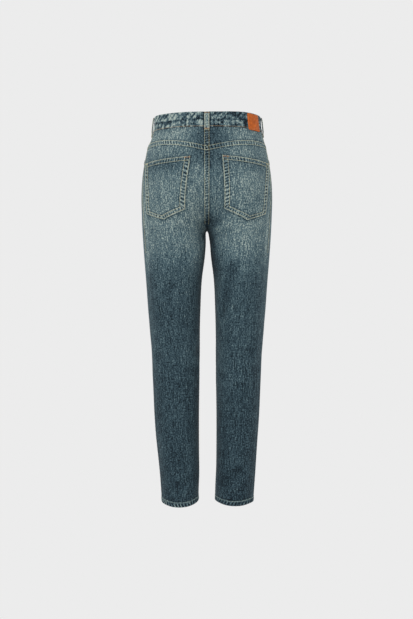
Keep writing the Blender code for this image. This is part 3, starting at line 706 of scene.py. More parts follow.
SHAPE = HalfShape()


def yoke_seam(across):
    """Height of the yoke seam at a share of the back, lowest at the centre."""
    rise = YOKE_SEAM_SIDE - YOKE_SEAM_CENTRE
    risen = np.minimum(across / YOKE_SEAM_RISES_OVER, 1.0)
    return YOKE_SEAM_CENTRE + rise * np.sin(risen * math.pi / 2)


def yoke_seam_at(inner):
    """Height of the yoke seam at a distance from the back seam."""
    return yoke_seam(inner / SHAPE.width(+1, (YOKE_SEAM_CENTRE + YOKE_SEAM_SIDE) / 2))


def scoop(across):
    """Height of a front's top edge at a share of the front, cut down by the pocket opening."""
    past = np.clip((1.0 - across) / (1.0 - SCOOP_FROM), 0.0, 1.0)
    return WAIST_SEAM - GAP - SCOOP_DEPTH * np.sqrt(1.0 - past * past)


# ---------------------------------------------------------------- relief, wear and painted shade


def creases(half, points):
    """Rise, painted shade and rim highlight of the creases at points of one half, given as on the
    left.
    """
    rise, shade = np.zeros(points.shape[:-1]), np.zeros(points.shape[:-1])
    for of_half, side, start, start_z, end, end_z, deep, wide in TROUGHS + CREASES:
        if of_half != half:
            continue
        first = SHAPE.point(SHAPE.share(side, start, start_z), start_z)
        last = SHAPE.point(SHAPE.share(side, end, end_z), end_z)
        way = last - first
        walked = ((points - first) @ way) / (way @ way)
        nearest = first + np.clip(walked, 0.0, 1.0)[..., None] * way
        away = np.linalg.norm(points - nearest, axis=-1)
        dip, rim = bell(away, wide), bell(away - 1.9 * wide, 0.9 * wide)
        rise += deep * (CREASE_RIM * rim - dip)
        # Painted shade in the bottom; the rims rubbed paler, with a painted highlight
        shade += deep * (CREASE_RIM_WEAR_AND_HIGHLIGHT * rim - CREASE_PAINTED_SHADE * dip)
    return rise, shade


def raised(distance, start, end, edge=0.0010):
    """1 between two distances and 0 outside them, with a soft edge."""
    return smoothstep((distance - start) / edge + 0.5) * smoothstep((end - distance) / edge + 0.5)


def bars(run, seed, pitch=0.0074):
    """Short uneven puckers along a seam, from -1 to 1."""
    wander = 0.45 * noise(run / 0.026, 0.0, seed)
    strength = 0.60 + 0.40 * noise(run / 0.013, 0.5, seed + 1)
    return strength * np.cos(2 * math.pi * (run / pitch + wander))


def felled(distance, run, rows, edges, seed, strength=1.0, pitch=0.0068):
    """Rise and shade of a folded seam with two stitch rows, puckered between them.

    distance is measured across the seam, rows are the two stitch rows and edges are where
    the folded layers start and end.
    """
    first, second = rows
    band = raised(distance, *edges)
    between = raised(distance, first + 0.0004, second - 0.0004, 0.0018)
    pressed = np.maximum(bell(distance - first, 0.0009), bell(distance - second, 0.0009))
    beside = np.exp(-np.maximum(edges[0] - distance, distance - edges[1]).clip(0.0) / 0.005)
    beside = beside * (1.0 - band)
    wave = np.tanh(1.8 * bars(run + 0.25 * distance, seed, pitch))
    from_start, from_end = distance - edges[0], edges[1] - distance
    # Painted shadow in a groove just outside each raised edge; just inside, the edges rubbed paler
    groove = bell(from_start + 0.0007, 0.0012) + bell(from_end + 0.0007, 0.0012)
    rubbed = bell(from_start - 0.0008, 0.0009) + bell(from_end - 0.0008, 0.0009)
    rise = 0.0008 * band + 0.00060 * wave * between * strength
    rise = rise + 0.00028 * wave * beside * strength - 0.00045 * pressed
    # Pucker tops are rubbed paler; their hollows are darker, unworn indigo with painted shade
    dots = np.where(wave > 0.0, PUCKER_LIGHT, PUCKER_DARK) * wave * between
    shade = strength * (dots + 0.13 * wave * beside) + 0.16 * rubbed + 0.05 * band
    shade = shade + 0.10 * pressed - 0.30 * groove
    return rise, shade


def seams_near(side, share, height):
    """Distances along the cloth from the inner line and from the outseam."""
    length, seam = SHAPE.length(height), SHAPE.outseam(height)
    inner = (share if side < 0 else 1.0 - share) * length
    return inner, np.abs(share - seam) * length


def wash(half, side, inner, outer, height):
    """Wear from the wash and wearer, with some painted shadow and light, before any seam or crease.
    """
    wear_and_shade = along(WASH, 1 if side > 0 else 2, height)
    wear_and_shade = wear_and_shade + np.zeros_like(inner)
    for of_half, of_side, distance, level, wide, tall, amount in LIGHTER_AND_DARKER_PLACES:
        if of_half in (0, half) and of_side == side:
            wear_and_shade += amount * bell(inner - distance, wide) * bell(height - level, tall)
    seed = 11 if half > 0 else 12
    wear_and_shade += 0.045 * noise((inner + 0.3 * side) / 0.045, height / 0.075, seed)
    wear_and_shade += 0.030 * noise((inner + 0.3 * side) / 0.012, height / 0.050, seed + 2)
    upper = smoothstep((height + 0.46) / 0.30)
    wear_and_shade -= 0.06 * bell(outer, 0.010) * upper
    return wear_and_shade


def leg_relief(half, side, inner, outer, height):
    """Rise and shade of the seams that run down a front or back."""
    rise, shade = np.zeros_like(inner), np.zeros_like(inner)
    in_leg = smoothstep((CROTCH - height) / 0.012)
    seed = 31 if half > 0 else 37
    # Outseam: the allowances lie to the back and show as a rubbed ridge beside the seam
    fold = OUTSEAM_FOLD if side > 0 else 0.0045
    wave = bars(height + 0.2 * outer, seed, pitch=0.0098)
    ridge = raised(outer, -0.001, fold, 0.0020)
    edge = bell(outer - (fold - 0.0012), 0.0024)
    rubbed = 0.35 + 0.65 * smoothstep((height + 0.72) / 0.36)
    rise += 0.0005 * ridge + 0.00022 * wave * ridge - 0.0006 * bell(outer, 0.0008)
    shade += (0.19 if side > 0 else 0.08) * edge * rubbed
    # The pressed-in outseam line has painted shade in its groove
    shade += 0.05 * wave * ridge * rubbed - 0.12 * bell(outer, 0.0009)
    if side > 0:
        # The allowances' far edges are soft pale lines, with darker cloth outside them
        on_leg = smoothstep((-0.190 - height) / 0.060)
        on_leg = on_leg * (0.50 + 0.50 * smoothstep((height + 0.430) / 0.100))
        pale, dark = bell(outer - 0.0200, 0.0036), bell(outer - 0.0080, 0.0070)
        shade += on_leg * (0.18 * pale - 0.08 * dark)
        on_calf = smoothstep((-0.560 - height) / 0.120)
        pale, dark = bell(inner - 0.0160, 0.0034), bell(inner - 0.0060, 0.0060)
        shade += on_calf * (0.14 * pale - 0.08 * dark)
    # Inseam: a folded seam, hardly puckered
    wave = bars(height + 0.2 * inner, seed + 3, pitch=0.0086)
    ridge = raised(inner, -0.001, 0.0062, 0.0020)
    rise += in_leg * (0.0005 * ridge + 0.00022 * wave * ridge - 0.0005 * bell(inner, 0.0008))
    shade += in_leg * (0.06 * bell(inner - 0.005, 0.0022) + 0.05 * wave * ridge)
    # The pressed-in inseam line has painted shade in its groove
    shade -= in_leg * 0.12 * bell(inner, 0.0010)
    # Hem: the stitched fold draws the cloth in just above the band, with painted shade along the
    # drawn-in line
    above = height - HEM_TOP
    wave = bars(inner + 0.6 * above, seed + 5, pitch=0.0086)
    draw = np.exp(-np.clip(above, 0.0, None) / DRAWN_IN)
    rise += 0.00040 * wave * draw
    shade += 0.10 * wave * draw - 0.10 * bell(above, 0.0012)
    return rise, shade


def loop_painted_shadow(half, places, height):
    """Painted shadow on the cloth beside and below each belt loop, which lies close on it."""
    shade = np.zeros(np.broadcast(places, height).shape)
    for _, loop_half, around in loop_places():
        across = np.abs(places - around)
        across = np.where((half == loop_half) | (across + places > 0.35), across, 1.0)
        beside = bell(across - LOOP_WIDTH / 2 - 0.0010, 0.0013)
        under = bell(height - LOOP_BOTTOM + 0.0016, 0.0013)
        shade += beside * smoothstep((height - LOOP_BOTTOM) / 0.002)
        shade += under * smoothstep((LOOP_WIDTH / 2 + 0.001 - across) / 0.001)
    return LOOP_PAINTED_SHADOW * shade


def added(relief, parts, strength=1.0):
    """Rise and shade with those of another part on top, at a strength."""
    return relief[0] + parts[0] * strength, relief[1] + parts[1] * strength


def under_band(inner, height, seed, shade):
    """Rise and shade of the puckers that the waistband's seam draws in, and of its shadow."""
    wave = bars(inner, seed, pitch=0.0082)
    draw = np.exp(-np.clip(WAIST_SEAM - height, 0.0, None) / DRAWN_IN)
    return 0.0003 * wave * draw, (0.07 * wave + shade) * draw


def back_relief(half, inner, outer, height):
    """Rise and shade of a back's or yoke's seams."""
    relief = leg_relief(half, +1, inner, outer, height)
    on_seat = 1.0 - smoothstep((CROTCH + 0.012 - height) / 0.014)
    strength = on_seat * smoothstep((height - CROTCH) / 0.05) * 0.5 + 0.5 * on_seat
    seam = felled(half * inner, height, BACK_SEAM_ROWS, BACK_SEAM_EDGES, seed=51)
    relief = added(relief, seam, strength)
    below = yoke_seam_at(inner) - height
    seam = felled(below, half * inner, YOKE_ROWS, YOKE_EDGES, seed=61, strength=1.15)
    relief = added(relief, seam)
    rise, shade = added(relief, under_band(inner, height, seed=71, shade=-0.10))
    return rise, shade + loop_painted_shadow(half, SHAPE.length(WAIST_TOP) - inner, height)


def front_relief(half, inner, outer, height, across):
    """Rise and shade of a front's seams, its pocket edge among them."""
    relief = leg_relief(half, -1, inner, outer, height)
    below_fly = smoothstep((FLY_BOTTOM - height) / 0.006) * smoothstep((height - CROTCH) / 0.02)
    seam = felled(half * inner, height, BACK_SEAM_ROWS, BACK_SEAM_EDGES, seed=81, strength=0.7)
    relief = added(relief, seam, below_fly)
    edge = scoop_distance(across, height)
    near = (across > SCOOP_FROM - 0.06).astype(float)
    seam = felled(edge, across * 0.19, SCOOP_ROWS, SCOOP_EDGES, seed=85, strength=0.8)
    relief = added(relief, seam, near)
    return added(relief, under_band(inner, height, seed=72, shade=-0.08))


def scoop_distance(across, height):
    """Distance inside the front pocket's curved edge, which is a quarter of an ellipse."""
    wide = (1.0 - SCOOP_FROM) * SHAPE.width(-1, WAIST_SEAM)
    a = (1.0 - across) / (1.0 - SCOOP_FROM)
    b = (WAIST_SEAM - GAP - height) / SCOOP_DEPTH
    level = np.hypot(a, b)
    slope = np.hypot(a / wide, b / SCOOP_DEPTH)
    return (level - 1.0) * level / np.maximum(slope, 1e-6)


def pocket_edges(half, around, height):
    """For each edge of a back pocket, the distance inside it and the way along it."""
    found = []
    for (a0, z0), (a1, z1) in zip(POCKETS[half], POCKETS[half][1:] + POCKETS[half][:1]):
        long = math.hypot(a1 - a0, z1 - z0)
        da, dz = (a1 - a0) / long, (z1 - z0) / long
        run = (around - a0) * da + (height - z0) * dz
        inside = (height - z0) * da - (around - a0) * dz
        found.append((inside, run))
    return found


def pocket_relief(half, around, height):
    """Rise and shade of a back pocket: puckered edges round a slightly full middle."""
    edges = pocket_edges(half, around, height)
    inside_all = np.array([inside for inside, _ in edges])
    nearest, least = inside_all.argmin(axis=0), inside_all.min(axis=0)
    rise, shade = np.zeros_like(around), np.zeros_like(around)
    for number, ((inside, run), rows) in enumerate(zip(edges, POCKET_ROWS)):
        seed = 101 + 7 * number + (40 if half < 0 else 0)
        layers = (-0.004, rows[1] + 0.0014)
        parts = felled(inside, run, rows, layers, seed, pitch=POCKET_PITCHES[number])
        rise = np.where(nearest == number, parts[0], rise)
        shade = np.where(nearest == number, parts[1], shade)
    full = smoothstep((least - 0.010) / 0.040)
    lip = bell(least - 0.0004, 0.0011)
    return rise + POCKET_FULLNESS * full, shade + 0.24 * lip


def pocket_shadow(half, around, height):
    """How near a back point is to the outside of the pocket's edge."""
    least = np.min(np.array([inside for inside, _ in pocket_edges(half, around, height)]), axis=0)
    return bell(np.minimum(least, 0.0), 0.0022) * smoothstep((0.004 - least) / 0.004)


def hung(points):
    """Points moved to where they come as the garment hangs, a little off true."""
    x, y, z = points[..., 0], points[..., 1], points[..., 2]
    below = smoothstep((CROTCH + 0.008 - z) / 0.050) * smoothstep((z - HEM) / 0.10)
    parted = smoothstep((CROTCH - z) / 0.030)
    left, right = INNER_SHIFTS
    inner = (left + right) / 2 + (left - right) / 2 * np.sign(x) * parted
    inner = inner * below * bell(x, INNER_SPREAD)
    low = smoothstep((-0.790 - z) / 0.130)
    outer = HEM_SHIFT * low * smoothstep((x - 0.03) / 0.09)
    lean = WAIST_LEAN * smoothstep((z + 0.085) / 0.040) * smoothstep((x - 0.03) / 0.09)
    hem = smoothstep((-0.880 - z) / 0.090)
    drop = HEM_DROP * hem * smoothstep((y + 0.01) / 0.06) * (x > 0.0)
    drop += HEM_LIFT * hem * bell(np.abs(x) - 0.020, 0.024)
    drop += HEM_OUTER_LIFT * hem * bell(np.abs(x) - 0.112, 0.020)
    behind = smoothstep((z + 0.055) / 0.045) * smoothstep((y - 0.015) / 0.065)
    drop += (WAIST_DIP + WAIST_TILT * bell(x + 0.095, 0.050)) * behind
    return np.stack((x + inner + outer + lean, y, z + drop), axis=-1)


def laid(half, share, height, out, cloth, wear_and_shade):
    """A surface's points, outward directions, cloth coordinates, and wear with painted shade, as it
    hangs.

    out is how far its outer face lies from the shape, and half is +1, -1 or an array of them.
    """
    points, normals = SHAPE.point(share, height), SHAPE.normal(share, height)
    halves = np.broadcast_to(half, points.shape[:-1])
    mirror = np.stack((halves, np.ones_like(halves), np.ones_like(halves)), axis=-1)
    points = (points + normals * out[..., None]) * mirror
    return hung(points), normals * mirror, np.stack(np.broadcast_arrays(*cloth), axis=-1), wear_and_shade


def surface(half, kind, share, height, lift=0.0):
    """Outer points, outward directions, cloth coordinates, and wear with painted shade, on one
    half.
    """
    share, height = same_shape(share, height)
    side = +1 if kind in ("back", "yoke", "back_pocket") else -1
    inner, outer = seams_near(side, share, height)
    rise, shade = creases(half, SHAPE.point(share, height))
    wear_and_shade = wash(half, side, inner, outer, height) + shade
    if kind == "back_pocket":
        parts = pocket_relief(half, inner, height)
        lift = lift + DENIM + GAP
    elif side > 0:
        parts = back_relief(half, inner, outer, height)
        parts = parts[0], parts[1] - 0.34 * pocket_shadow(half, inner, height)
    elif kind == "front":
        across = inner / SHAPE.width(-1, height)
        parts = front_relief(half, inner, outer, height, across)
    else:
        parts = 0.0, -0.18
    rise, wear_and_shade = added((rise, wear_and_shade), parts)
    cloth = outer * side * half, height
    return laid(half, share, height, DENIM / 2 + rise + lift, cloth, wear_and_shade)


# ---------------------------------------------------------------- finishes


def add_node(tree, kind, links=(), outputs=(), **settings):
    """Add a node; links are (input, value or socket), settings are its properties."""
    node = tree.nodes.new(kind)
    for name, value in settings.items():
        setattr(node, name, value)
    for name, value in links:
        if isinstance(value, bpy.types.NodeSocket):
            tree.links.new(value, node.inputs[name])
        else:
            node.inputs[name].default_value = value
    for name, socket in outputs:
        tree.links.new(node.outputs[name], socket)
    return node


def finish(name, roughness, metallic=0.0, sheen=0.0, specular=0.5):
    """A new material with a Principled shader, its nodes and that shader."""
    material = bpy.data.materials.new(name)
    material.use_nodes = True
    shader = material.node_tree.nodes["Principled BSDF"]
    for label, value in (
        ("Roughness", roughness), ("Metallic", metallic), ("Specular IOR Level", specular),
        ("Sheen Weight", sheen), ("Sheen Roughness", 0.5),
    ):
        shader.inputs[label].default_value = value
    return material, material.node_tree, shader


def cell_noise(tree, vector, wide, tall, detail=2.0):
    """Noise whose grains are so wide and so tall in metres, on the cloth's own coordinates."""
    grain = add_node(
        tree, "ShaderNodeMapping", [("Vector", vector), ("Scale", (1 / wide, 1 / tall, 1.0))]
    )
    return add_node(
        tree, "ShaderNodeTexNoise",
        [("Vector", grain.outputs["Vector"]), ("Scale", 1.0), ("Detail", detail)],
        noise_dimensions="2D",
    ).outputs["Fac"]


def speckle(tree, scale, detail=2.0, kind="Noise", output="Fac"):
    """Noise on the object's own coordinates, with so many grains a metre."""
    place = add_node(tree, "ShaderNodeTexCoord").outputs["Object"]
    links = [("Vector", place), ("Scale", scale)]
    if kind == "Noise":
        links.append(("Detail", detail))
    return add_node(tree, "ShaderNodeTex" + kind, links).outputs[output]


def maths(tree, operation, *values):
    """The result of one sum on sockets or numbers."""
    node = add_node(tree, "ShaderNodeMath", list(enumerate(values)), operation=operation)
    return node.outputs[0]


def blended(tree, total, *parts):
    """A first socket and then (socket, amount) pairs, each centred on one half, summed."""
    for socket, amount in parts:
        total = maths(tree, "MULTIPLY_ADD", socket, amount, total)
    return maths(tree, "SUBTRACT", total, sum(amount for _, amount in parts) / 2)


def ramped(tree, level, shader, *stops):
    """Give a shader its colour off a ramp of (position, colour) stops."""
    base = [("Color", shader.inputs["Base Color"])]
    elements = add_node(tree, "ShaderNodeValToRGB", [("Fac", level)], base).color_ramp.elements
    while len(elements) < len(stops):
        elements.new(0.5)
    for element, (position, shade) in zip(elements, stops):
        element.position = position
        element.color = (*shade, 1.0)


def bumped(tree, height, shader, strength, deep):
    """Let a pattern so many metres deep catch the light."""
    add_node(
        tree, "ShaderNodeBump", [("Height", height), ("Strength", strength), ("Distance", deep)],
        [("Normal", shader.inputs["Normal"])],
    )


def worn(tree):
    """The wear and painted shade kept at each point, as a socket."""
    return add_node(tree, "ShaderNodeAttribute", attribute_name="wear_and_shade").outputs["Fac"]


def twill(tree, vector):
    """Slanted twill lines, drawn 1.7 mm apart, coarser than real ones, so that they show."""
    turned = add_node(
        tree, "ShaderNodeMapping", [("Vector", vector), ("Rotation", (0.0, 0.0, TWILL_SLANT))]
    )
    return add_node(
        tree, "ShaderNodeTexWave",
        [("Vector", turned.outputs["Vector"]), ("Scale", 2 * math.pi / (20 * TWILL_PITCH)),
         ("Distortion", 1.2), ("Detail", 1.0), ("Detail Scale", 2.0)],
        wave_type="BANDS", bands_direction="X",
    ).outputs["Fac"]


def denim(name, colours):
    """Indigo twill: dark warp over a pale weft, so that rubbed places turn pale and grainy."""
    material, tree, shader = finish(name, 0.90, sheen=0.03, specular=0.15)
    cloth = add_node(tree, "ShaderNodeUVMap", uv_map="cloth").outputs["UV"]
    # The flecks where warp has worn off are 1 mm; they are drawn 2.5 mm wide so that they show
    grain = cell_noise(tree, cloth, 0.0025, 0.0038, 1.0)
    slub = cell_noise(tree, cloth, 0.0029, 0.0190, 1.0)
    streak = cell_noise(tree, cloth, 0.0090, 0.0900)
    lines = twill(tree, cloth)
    # The colour follows the wear and painted shade kept at each point, with grain over it
    level = blended(tree, worn(tree), (grain, 1.15), (slub, 0.60), (streak, 0.22), (lines, 0.08))
    ramped(
        tree, level, shader, (0.05, colours.indigo), (0.25, colours.dark_denim),
        (0.49, colours.middle_denim), (0.72, colours.washed_denim), (1.00, colours.rubbed_denim),
    )
    bumped(tree, blended(tree, lines, (grain, 1.2), (slub, 0.8)), shader, 0.55, 0.00035)
    return material


def denim_inside(name, colours):
    """The cloth's wrong side: the pale weft lies on top, flecked with blue."""
    material, tree, shader = finish(name, 0.92, sheen=0.10)
    cloth = add_node(tree, "ShaderNodeUVMap", uv_map="cloth").outputs["UV"]
    # The flecks are 1 mm; they are drawn 3 mm wide so that they show
    fleck = cell_noise(tree, cloth, 0.0030, 0.0050)
    lines = twill(tree, cloth)
    level = blended(tree, fleck, (lines, 0.25))
    ramped(tree, level, shader, (0.38, colours.inside_fleck), (0.58, colours.inside))
    bumped(tree, lines, shader, 0.4, 0.0003)
    return material


def leather(name, colours):
    """Vegetable-tanned leather, dyed orange-brown: fine pores, darker in its creases."""
    material, tree, shader = finish(name, 0.60, specular=0.25)
    pores = speckle(tree, 1300.0, kind="Voronoi", output="Distance")
    cloud = speckle(tree, 130.0, 4.0)
    level = blended(tree, worn(tree), (cloud, 0.9), (pores, 0.25))
    ramped(tree, level, shader, (0.12, colours.leather_dark), (0.78, colours.leather))
    bumped(tree, pores, shader, 0.35, 0.0003)
    return material


def brass(name, colours):
    """Antiqued brass, stamped: bright brass with brown tarnish flecked over it at random."""
    material, tree, shader = finish(name, 0.36, metallic=1.0)
    tarnish = speckle(tree, 420.0, 3.0)
    ramped(tree, tarnish, shader, (0.30, colours.brass_dark), (0.68, colours.brass))
    bumped(tree, tarnish, shader, 0.25, 0.0002)
    return material


def thread(name, colours):
    """Spun polyester sewing thread: matt, with a slight sheen along its twist."""
    shade = getattr(colours, THREADS[name])
    material, tree, shader = finish(name, 0.62, sheen=0.20)
    dark = tuple(0.62 * channel for channel in shade)
    add_node(
        tree, "ShaderNodeMix",
        [("Factor", speckle(tree, 900.0)), (6, (*dark, 1.0)), (7, (*shade, 1.0))],
        [(2, shader.inputs["Base Color"])], data_type="RGBA",
    )
    return material


# The maker of each finish that isn't a thread
FINISHES = {
    "washed indigo denim": denim,
    "denim wrong side": denim_inside,
    "vegetable-tanned leather": leather,
    "antique brass": brass,
}


def shared(name):
    """A finish that is made once and then shared."""
    maker = FINISHES.get(name, thread)
    return bpy.data.materials.get(name) or maker(name, bpy.context.scene.jeans_colours)


# ---------------------------------------------------------------- making meshes


def add_object(name, data):
    """A new object in the scene."""
    made = bpy.data.objects.new(name, data)
    bpy.context.scene.collection.objects.link(made)
    return made


def grid_mesh(name, points, normals, cloth, wear_and_shade, ring=False):
    """A mesh over a grid of points, facing outwards, with its cloth map, wear and painted shade."""
    rows, columns = points.shape[:2]
    index = np.arange(rows * columns).reshape(rows, columns)
    corners = np.stack((index[:-1, :-1], index[:-1, 1:], index[1:, 1:], index[1:, :-1]), axis=-1)
    corners = corners.reshape(-1, 4)
    flat, out = points.reshape(-1, 3), normals.reshape(-1, 3)
    a, b, c, d = (flat[corners[:, k]] for k in range(4))
    if (np.cross(c - a, d - b) * out[corners[:, 0]]).sum() < 0:
        corners = corners[:, ::-1]
    used, keep = corners, np.arange(rows * columns)
    if ring:
        # The last column is the first one again, so its points are shared
        keep = index[:, :-1].reshape(-1)
        renumbered = np.zeros(rows * columns, dtype=int)
        renumbered[keep] = np.arange(len(keep))
        renumbered[index[:, -1]] = renumbered[index[:, 0]]
        used = renumbered[corners]
    mesh = bpy.data.meshes.new(name)
    mesh.from_pydata(flat[keep].tolist(), [], used.tolist())
    layer = mesh.uv_layers.new(name="cloth")
    layer.data.foreach_set("uv", cloth.reshape(-1, 2)[corners.reshape(-1)].reshape(-1))
    values = mesh.attributes.new("wear_and_shade", "FLOAT", "POINT")
    values.data.foreach_set("value", np.clip(wear_and_shade.reshape(-1)[keep], *WEAR_AND_SHADE_LIMITS))
    mesh.shade_smooth()
    return mesh


def cloth_piece(name, grid, wall, ring=False, bevel=0.0, faces=()):
    """A sewn piece that stands for the solid of its name: an outer grid with a wall inside.

    flat is the width and length of its cut, hangs_from are the nodes that hold it and faces
    faces are the finishes of its outside and inside.
    """
    mesh = grid_mesh(name + "_cloth", *grid, ring)
    piece = add_object(name + "_cloth", mesh)
    for face in faces or ("washed indigo denim", "denim wrong side"):
        mesh.materials.append(shared(face))
    solid = piece.modifiers.new("wall", "SOLIDIFY")
    solid.thickness = wall
    solid.offset = -1.0
    solid.material_offset = 1
    if bevel:
        edge = piece.modifiers.new("rounded edge", "BEVEL")
        edge.width = bevel
        edge.segments = 2
        edge.limit_method = "ANGLE"
        edge.angle_limit = math.radians(SHARP_FROM)
    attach(piece, "root")
    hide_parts(name)


def edge_spaced(count, closest, power=1.6):
    """Shares from 0 to 1 that lie close together at 0 and at 1."""
    t = np.linspace(0.0, 1.0, count)
    half = np.minimum(t, 1.0 - t) * 2.0
    near = closest * half + (1.0 - closest) * half ** power
    return np.where(t < 0.5, near / 2.0, 1.0 - near / 2.0)


def half_gap(side, height, across):
    """Shares of a panel held half a gap inside its seams."""
    edge = GAP / 2 / SHAPE.width(side, height)
    return edge + across * (1.0 - 2.0 * edge)


def panel_rows(top, level, blend_rows):
    """Heights of a panel's grid down to its hem: rows that follow its top edge, then level."""
    blend = np.linspace(0.0, 1.0, blend_rows + 1)[:-1, None]
    upper = top * (1.0 - blend) + level * blend
    bottom = HEM_TOP + GAP
    lower = np.linspace(level, bottom, int(round((level - bottom) / ROW_STEP)) + 1)
    return np.vstack((upper, lower[:, None] * np.ones(len(top))))


def flat_size(side, top, bottom):
    """Width and length of a panel's cut between two heights."""
    heights = np.linspace(top, bottom, 60)
    widest = float(max(SHAPE.width(side, level) for level in heights))
    return widest * EASE_ACROSS, (top - bottom) * EASE_DOWN


# ---------------------------------------------------------------- pieces


def make_panels(kind, side, across, height, lift=0.0):
    """The left and right panel of a kind, on a grid of shares across it and heights."""
    share = SHAPE.share(side, across, height)
    for half, word in HALVES:
        grid = surface(half, kind, share, height, lift)
        cloth_piece(f"{kind}_{word}", grid, DENIM)


def make_backs():
    """Both backs, from the yoke seam to the hem bands."""
    across = edge_spaced(BACK_LINES + 1, BACK_EDGE_SPACING)
    height = panel_rows(yoke_seam(across) - GAP / 2, BACK_LEVEL, BACK_BLEND_ROWS)
    flat = flat_size(+1, YOKE_SEAM_SIDE, HEM_TOP)
    make_panels("back", +1, half_gap(+1, height, across), height)


def make_yokes():
    """Both yokes, between the waistband and the yoke seam."""
    across = edge_spaced(BACK_LINES + 1, BACK_EDGE_SPACING)
    blend = np.linspace(0.0, 1.0, YOKE_ROWS_DOWN + 1)[:, None]
    height = (WAIST_SEAM - GAP) * (1 - blend) + (yoke_seam(across) + GAP / 2) * blend
    flat = flat_size(+1, WAIST_SEAM, YOKE_SEAM_CENTRE)
    make_panels("yoke", +1, half_gap(+1, height, across), height)


def make_fronts():
    """Both fronts, with their scooped pocket edges."""
    before = SCOOP_FROM * np.linspace(0.0, 1.0, FRONT_PLAIN_LINES + 1)
    before = before * (0.25 + 0.75 * before / SCOOP_FROM)
    turn = np.linspace(0.0, math.pi / 2, FRONT_SCOOP_LINES + 1)[1:]
    after = 1.0 - (1.0 - SCOOP_FROM) * np.cos(turn)
    across = np.concatenate((before, after[:-1], [0.9985, 1.0]))
    height = panel_rows(scoop(across), FRONT_LEVEL, FRONT_BLEND_ROWS)
    flat = flat_size(-1, WAIST_SEAM, HEM_TOP)
    make_panels("front", -1, half_gap(-1, height, across), height)


def make_facings():
    """The facings that show inside the front pocket openings."""
    levels, lines = FACING_GRID
    across = np.linspace(FACING_FROM, FACING_TO, lines)
    height = np.linspace(WAIST_SEAM - GAP, FACING_BOTTOM, levels)[:, None] * np.ones(lines)
    wide = float(SHAPE.width(-1, FACING_BOTTOM)) * (FACING_TO - FACING_FROM)
    lift = -DENIM - FACING_GAP
    make_panels("pocket_facing", -1, across, height, lift)


def pocket_grid(half):
    """Distances from the back seam and heights over a back pocket."""
    corners = np.array(POCKETS[half])
    t = edge_spaced(POCKET_LINES + 1, POCKET_EDGE_SPACING)
    point = (corners[2, 0] - corners[1, 0]) / (corners[3, 0] - corners[1, 0])
    t[np.argmin(np.abs(t - point))] = point
    top = corners[0] + (corners[4] - corners[0]) * t[:, None]
    bottom = np.column_stack([np.interp(t, (0.0, point, 1.0), corners[1:4, k]) for k in (0, 1)])
    r = edge_spaced(POCKET_ROWS_DOWN + 1, POCKET_EDGE_SPACING)[:, None, None]
    grid = top[None] * (1 - r) + bottom[None] * r
    return grid[..., 0], grid[..., 1]


def make_back_pockets():
    """Both back patch pockets, laid on the backs."""
    for half, word in HALVES:
        around, height = pocket_grid(half)
        grid = surface(half, "back_pocket", 1.0 - around / SHAPE.length(height), height)
        name = "back_pocket_" + word
        cloth_piece(name, grid, DENIM, bevel=LAID_BEVEL)


def settle(around, start):
    """1 up to a start, then falling to 0 over the ramp."""
    return 1.0 - smoothstep((around - start) / END_RAMP)


def band_line(step=BAND_STEP):
    """The waistband's length: half, distance from the centre front, side step, way along."""
    half_round = float(SHAPE.length(WAIST_TOP))
    stretches = (
        (+1, UNDERLAP, 0.0, lambda around: -END_STEP + 0.0 * around),
        (-1, 0.0, half_round, lambda around: -END_STEP * settle(around, OVERLAP)),
        (+1, half_round, 0.0, lambda around: END_STEP * settle(around, UNDERLAP)),
        (-1, 0.0, OVERLAP, lambda around: END_STEP + 0.0 * around),
    )
    found = []
    for half, start, end, side_step in stretches:
        count = max(int(abs(end - start) / step), 3)
        line = np.linspace(start, end, count + 1)[(1 if found else 0):]
        found.append((np.full(len(line), half), line, side_step(line)))
    halves, places, steps = (np.concatenate(values) for values in zip(*found))
    way = np.concatenate(([0.0], np.cumsum(np.abs(np.diff(places)))))
    return halves, places, steps, way


def band_surface(halves, places, steps, way, height, lift=0.0):
    """Outer points, outward directions, cloth coordinates, wear and painted loop shadows on the
    waistband.
    """
    share = places / SHAPE.length(WAIST_TOP) + 0.0 * height
    up = height - WAIST_SEAM
    # The cloth between the stitched edges bunches up as it shrinks, with a furrow halfway
    clump = noise(way / 0.0080, height / 0.0058, seed=201)
    clump = clump + 0.6 * noise(way / 0.0042, height / 0.0040, seed=202)
    furrow = WAIST_SEAM / 2 + 0.0022 * noise(way / 0.030, 0.0, seed=206)
    above = smoothstep((height - furrow) / 0.004 + 0.5)
    bunched = bars(way + 0.9 * (height - furrow) * above, seed=207, pitch=0.0132)
    blotch = np.tanh(1.2 * clump + 0.9 * bunched) - 0.7 * bell(height - furrow, 0.0026)
    broad = noise(way / 0.060, height / 0.080, seed=203)
    dip = bell(up - WAIST_STITCH, 0.0010)
    wave = bars(way, seed=205, pitch=0.0084)
    draw = np.exp(-np.abs(up - WAIST_STITCH) / DRAWN_IN)
    top = bell(height - WAIST_TOP, 0.0016)
    rise = 0.00050 * blotch - 0.0005 * dip + 0.00035 * wave * draw - 0.0003 * top
    behind = smoothstep(np.abs(places) / 0.20)
    wear_and_shade = 0.53 + 0.10 * halves * behind + 0.46 * blotch + 0.07 * broad + 0.12 * wave * draw
    wear_and_shade = wear_and_shade + 0.06 * dip + 0.05 * top - 0.24 * bell(up, 0.0012)
    near_seam = bell(places - float(SHAPE.length(WAIST_TOP)), 0.03)
    wear_and_shade = wear_and_shade - 0.10 * near_seam + loop_painted_shadow(halves, places, height)
    return laid(halves, share, height, BAND / 2 + steps + rise + lift, (way, height), wear_and_shade)


def make_waistband():
    """The waistband, a folded band with its ends lapped at the centre front."""
    line = band_line()
    way = line[-1]
    height = np.linspace(WAIST_SEAM, WAIST_TOP, BAND_LEVELS)[:, None] * np.ones(len(way))
    grid = band_surface(*line, height)
    cloth_piece("waistband", grid, BAND, bevel=BAND_BEVEL)


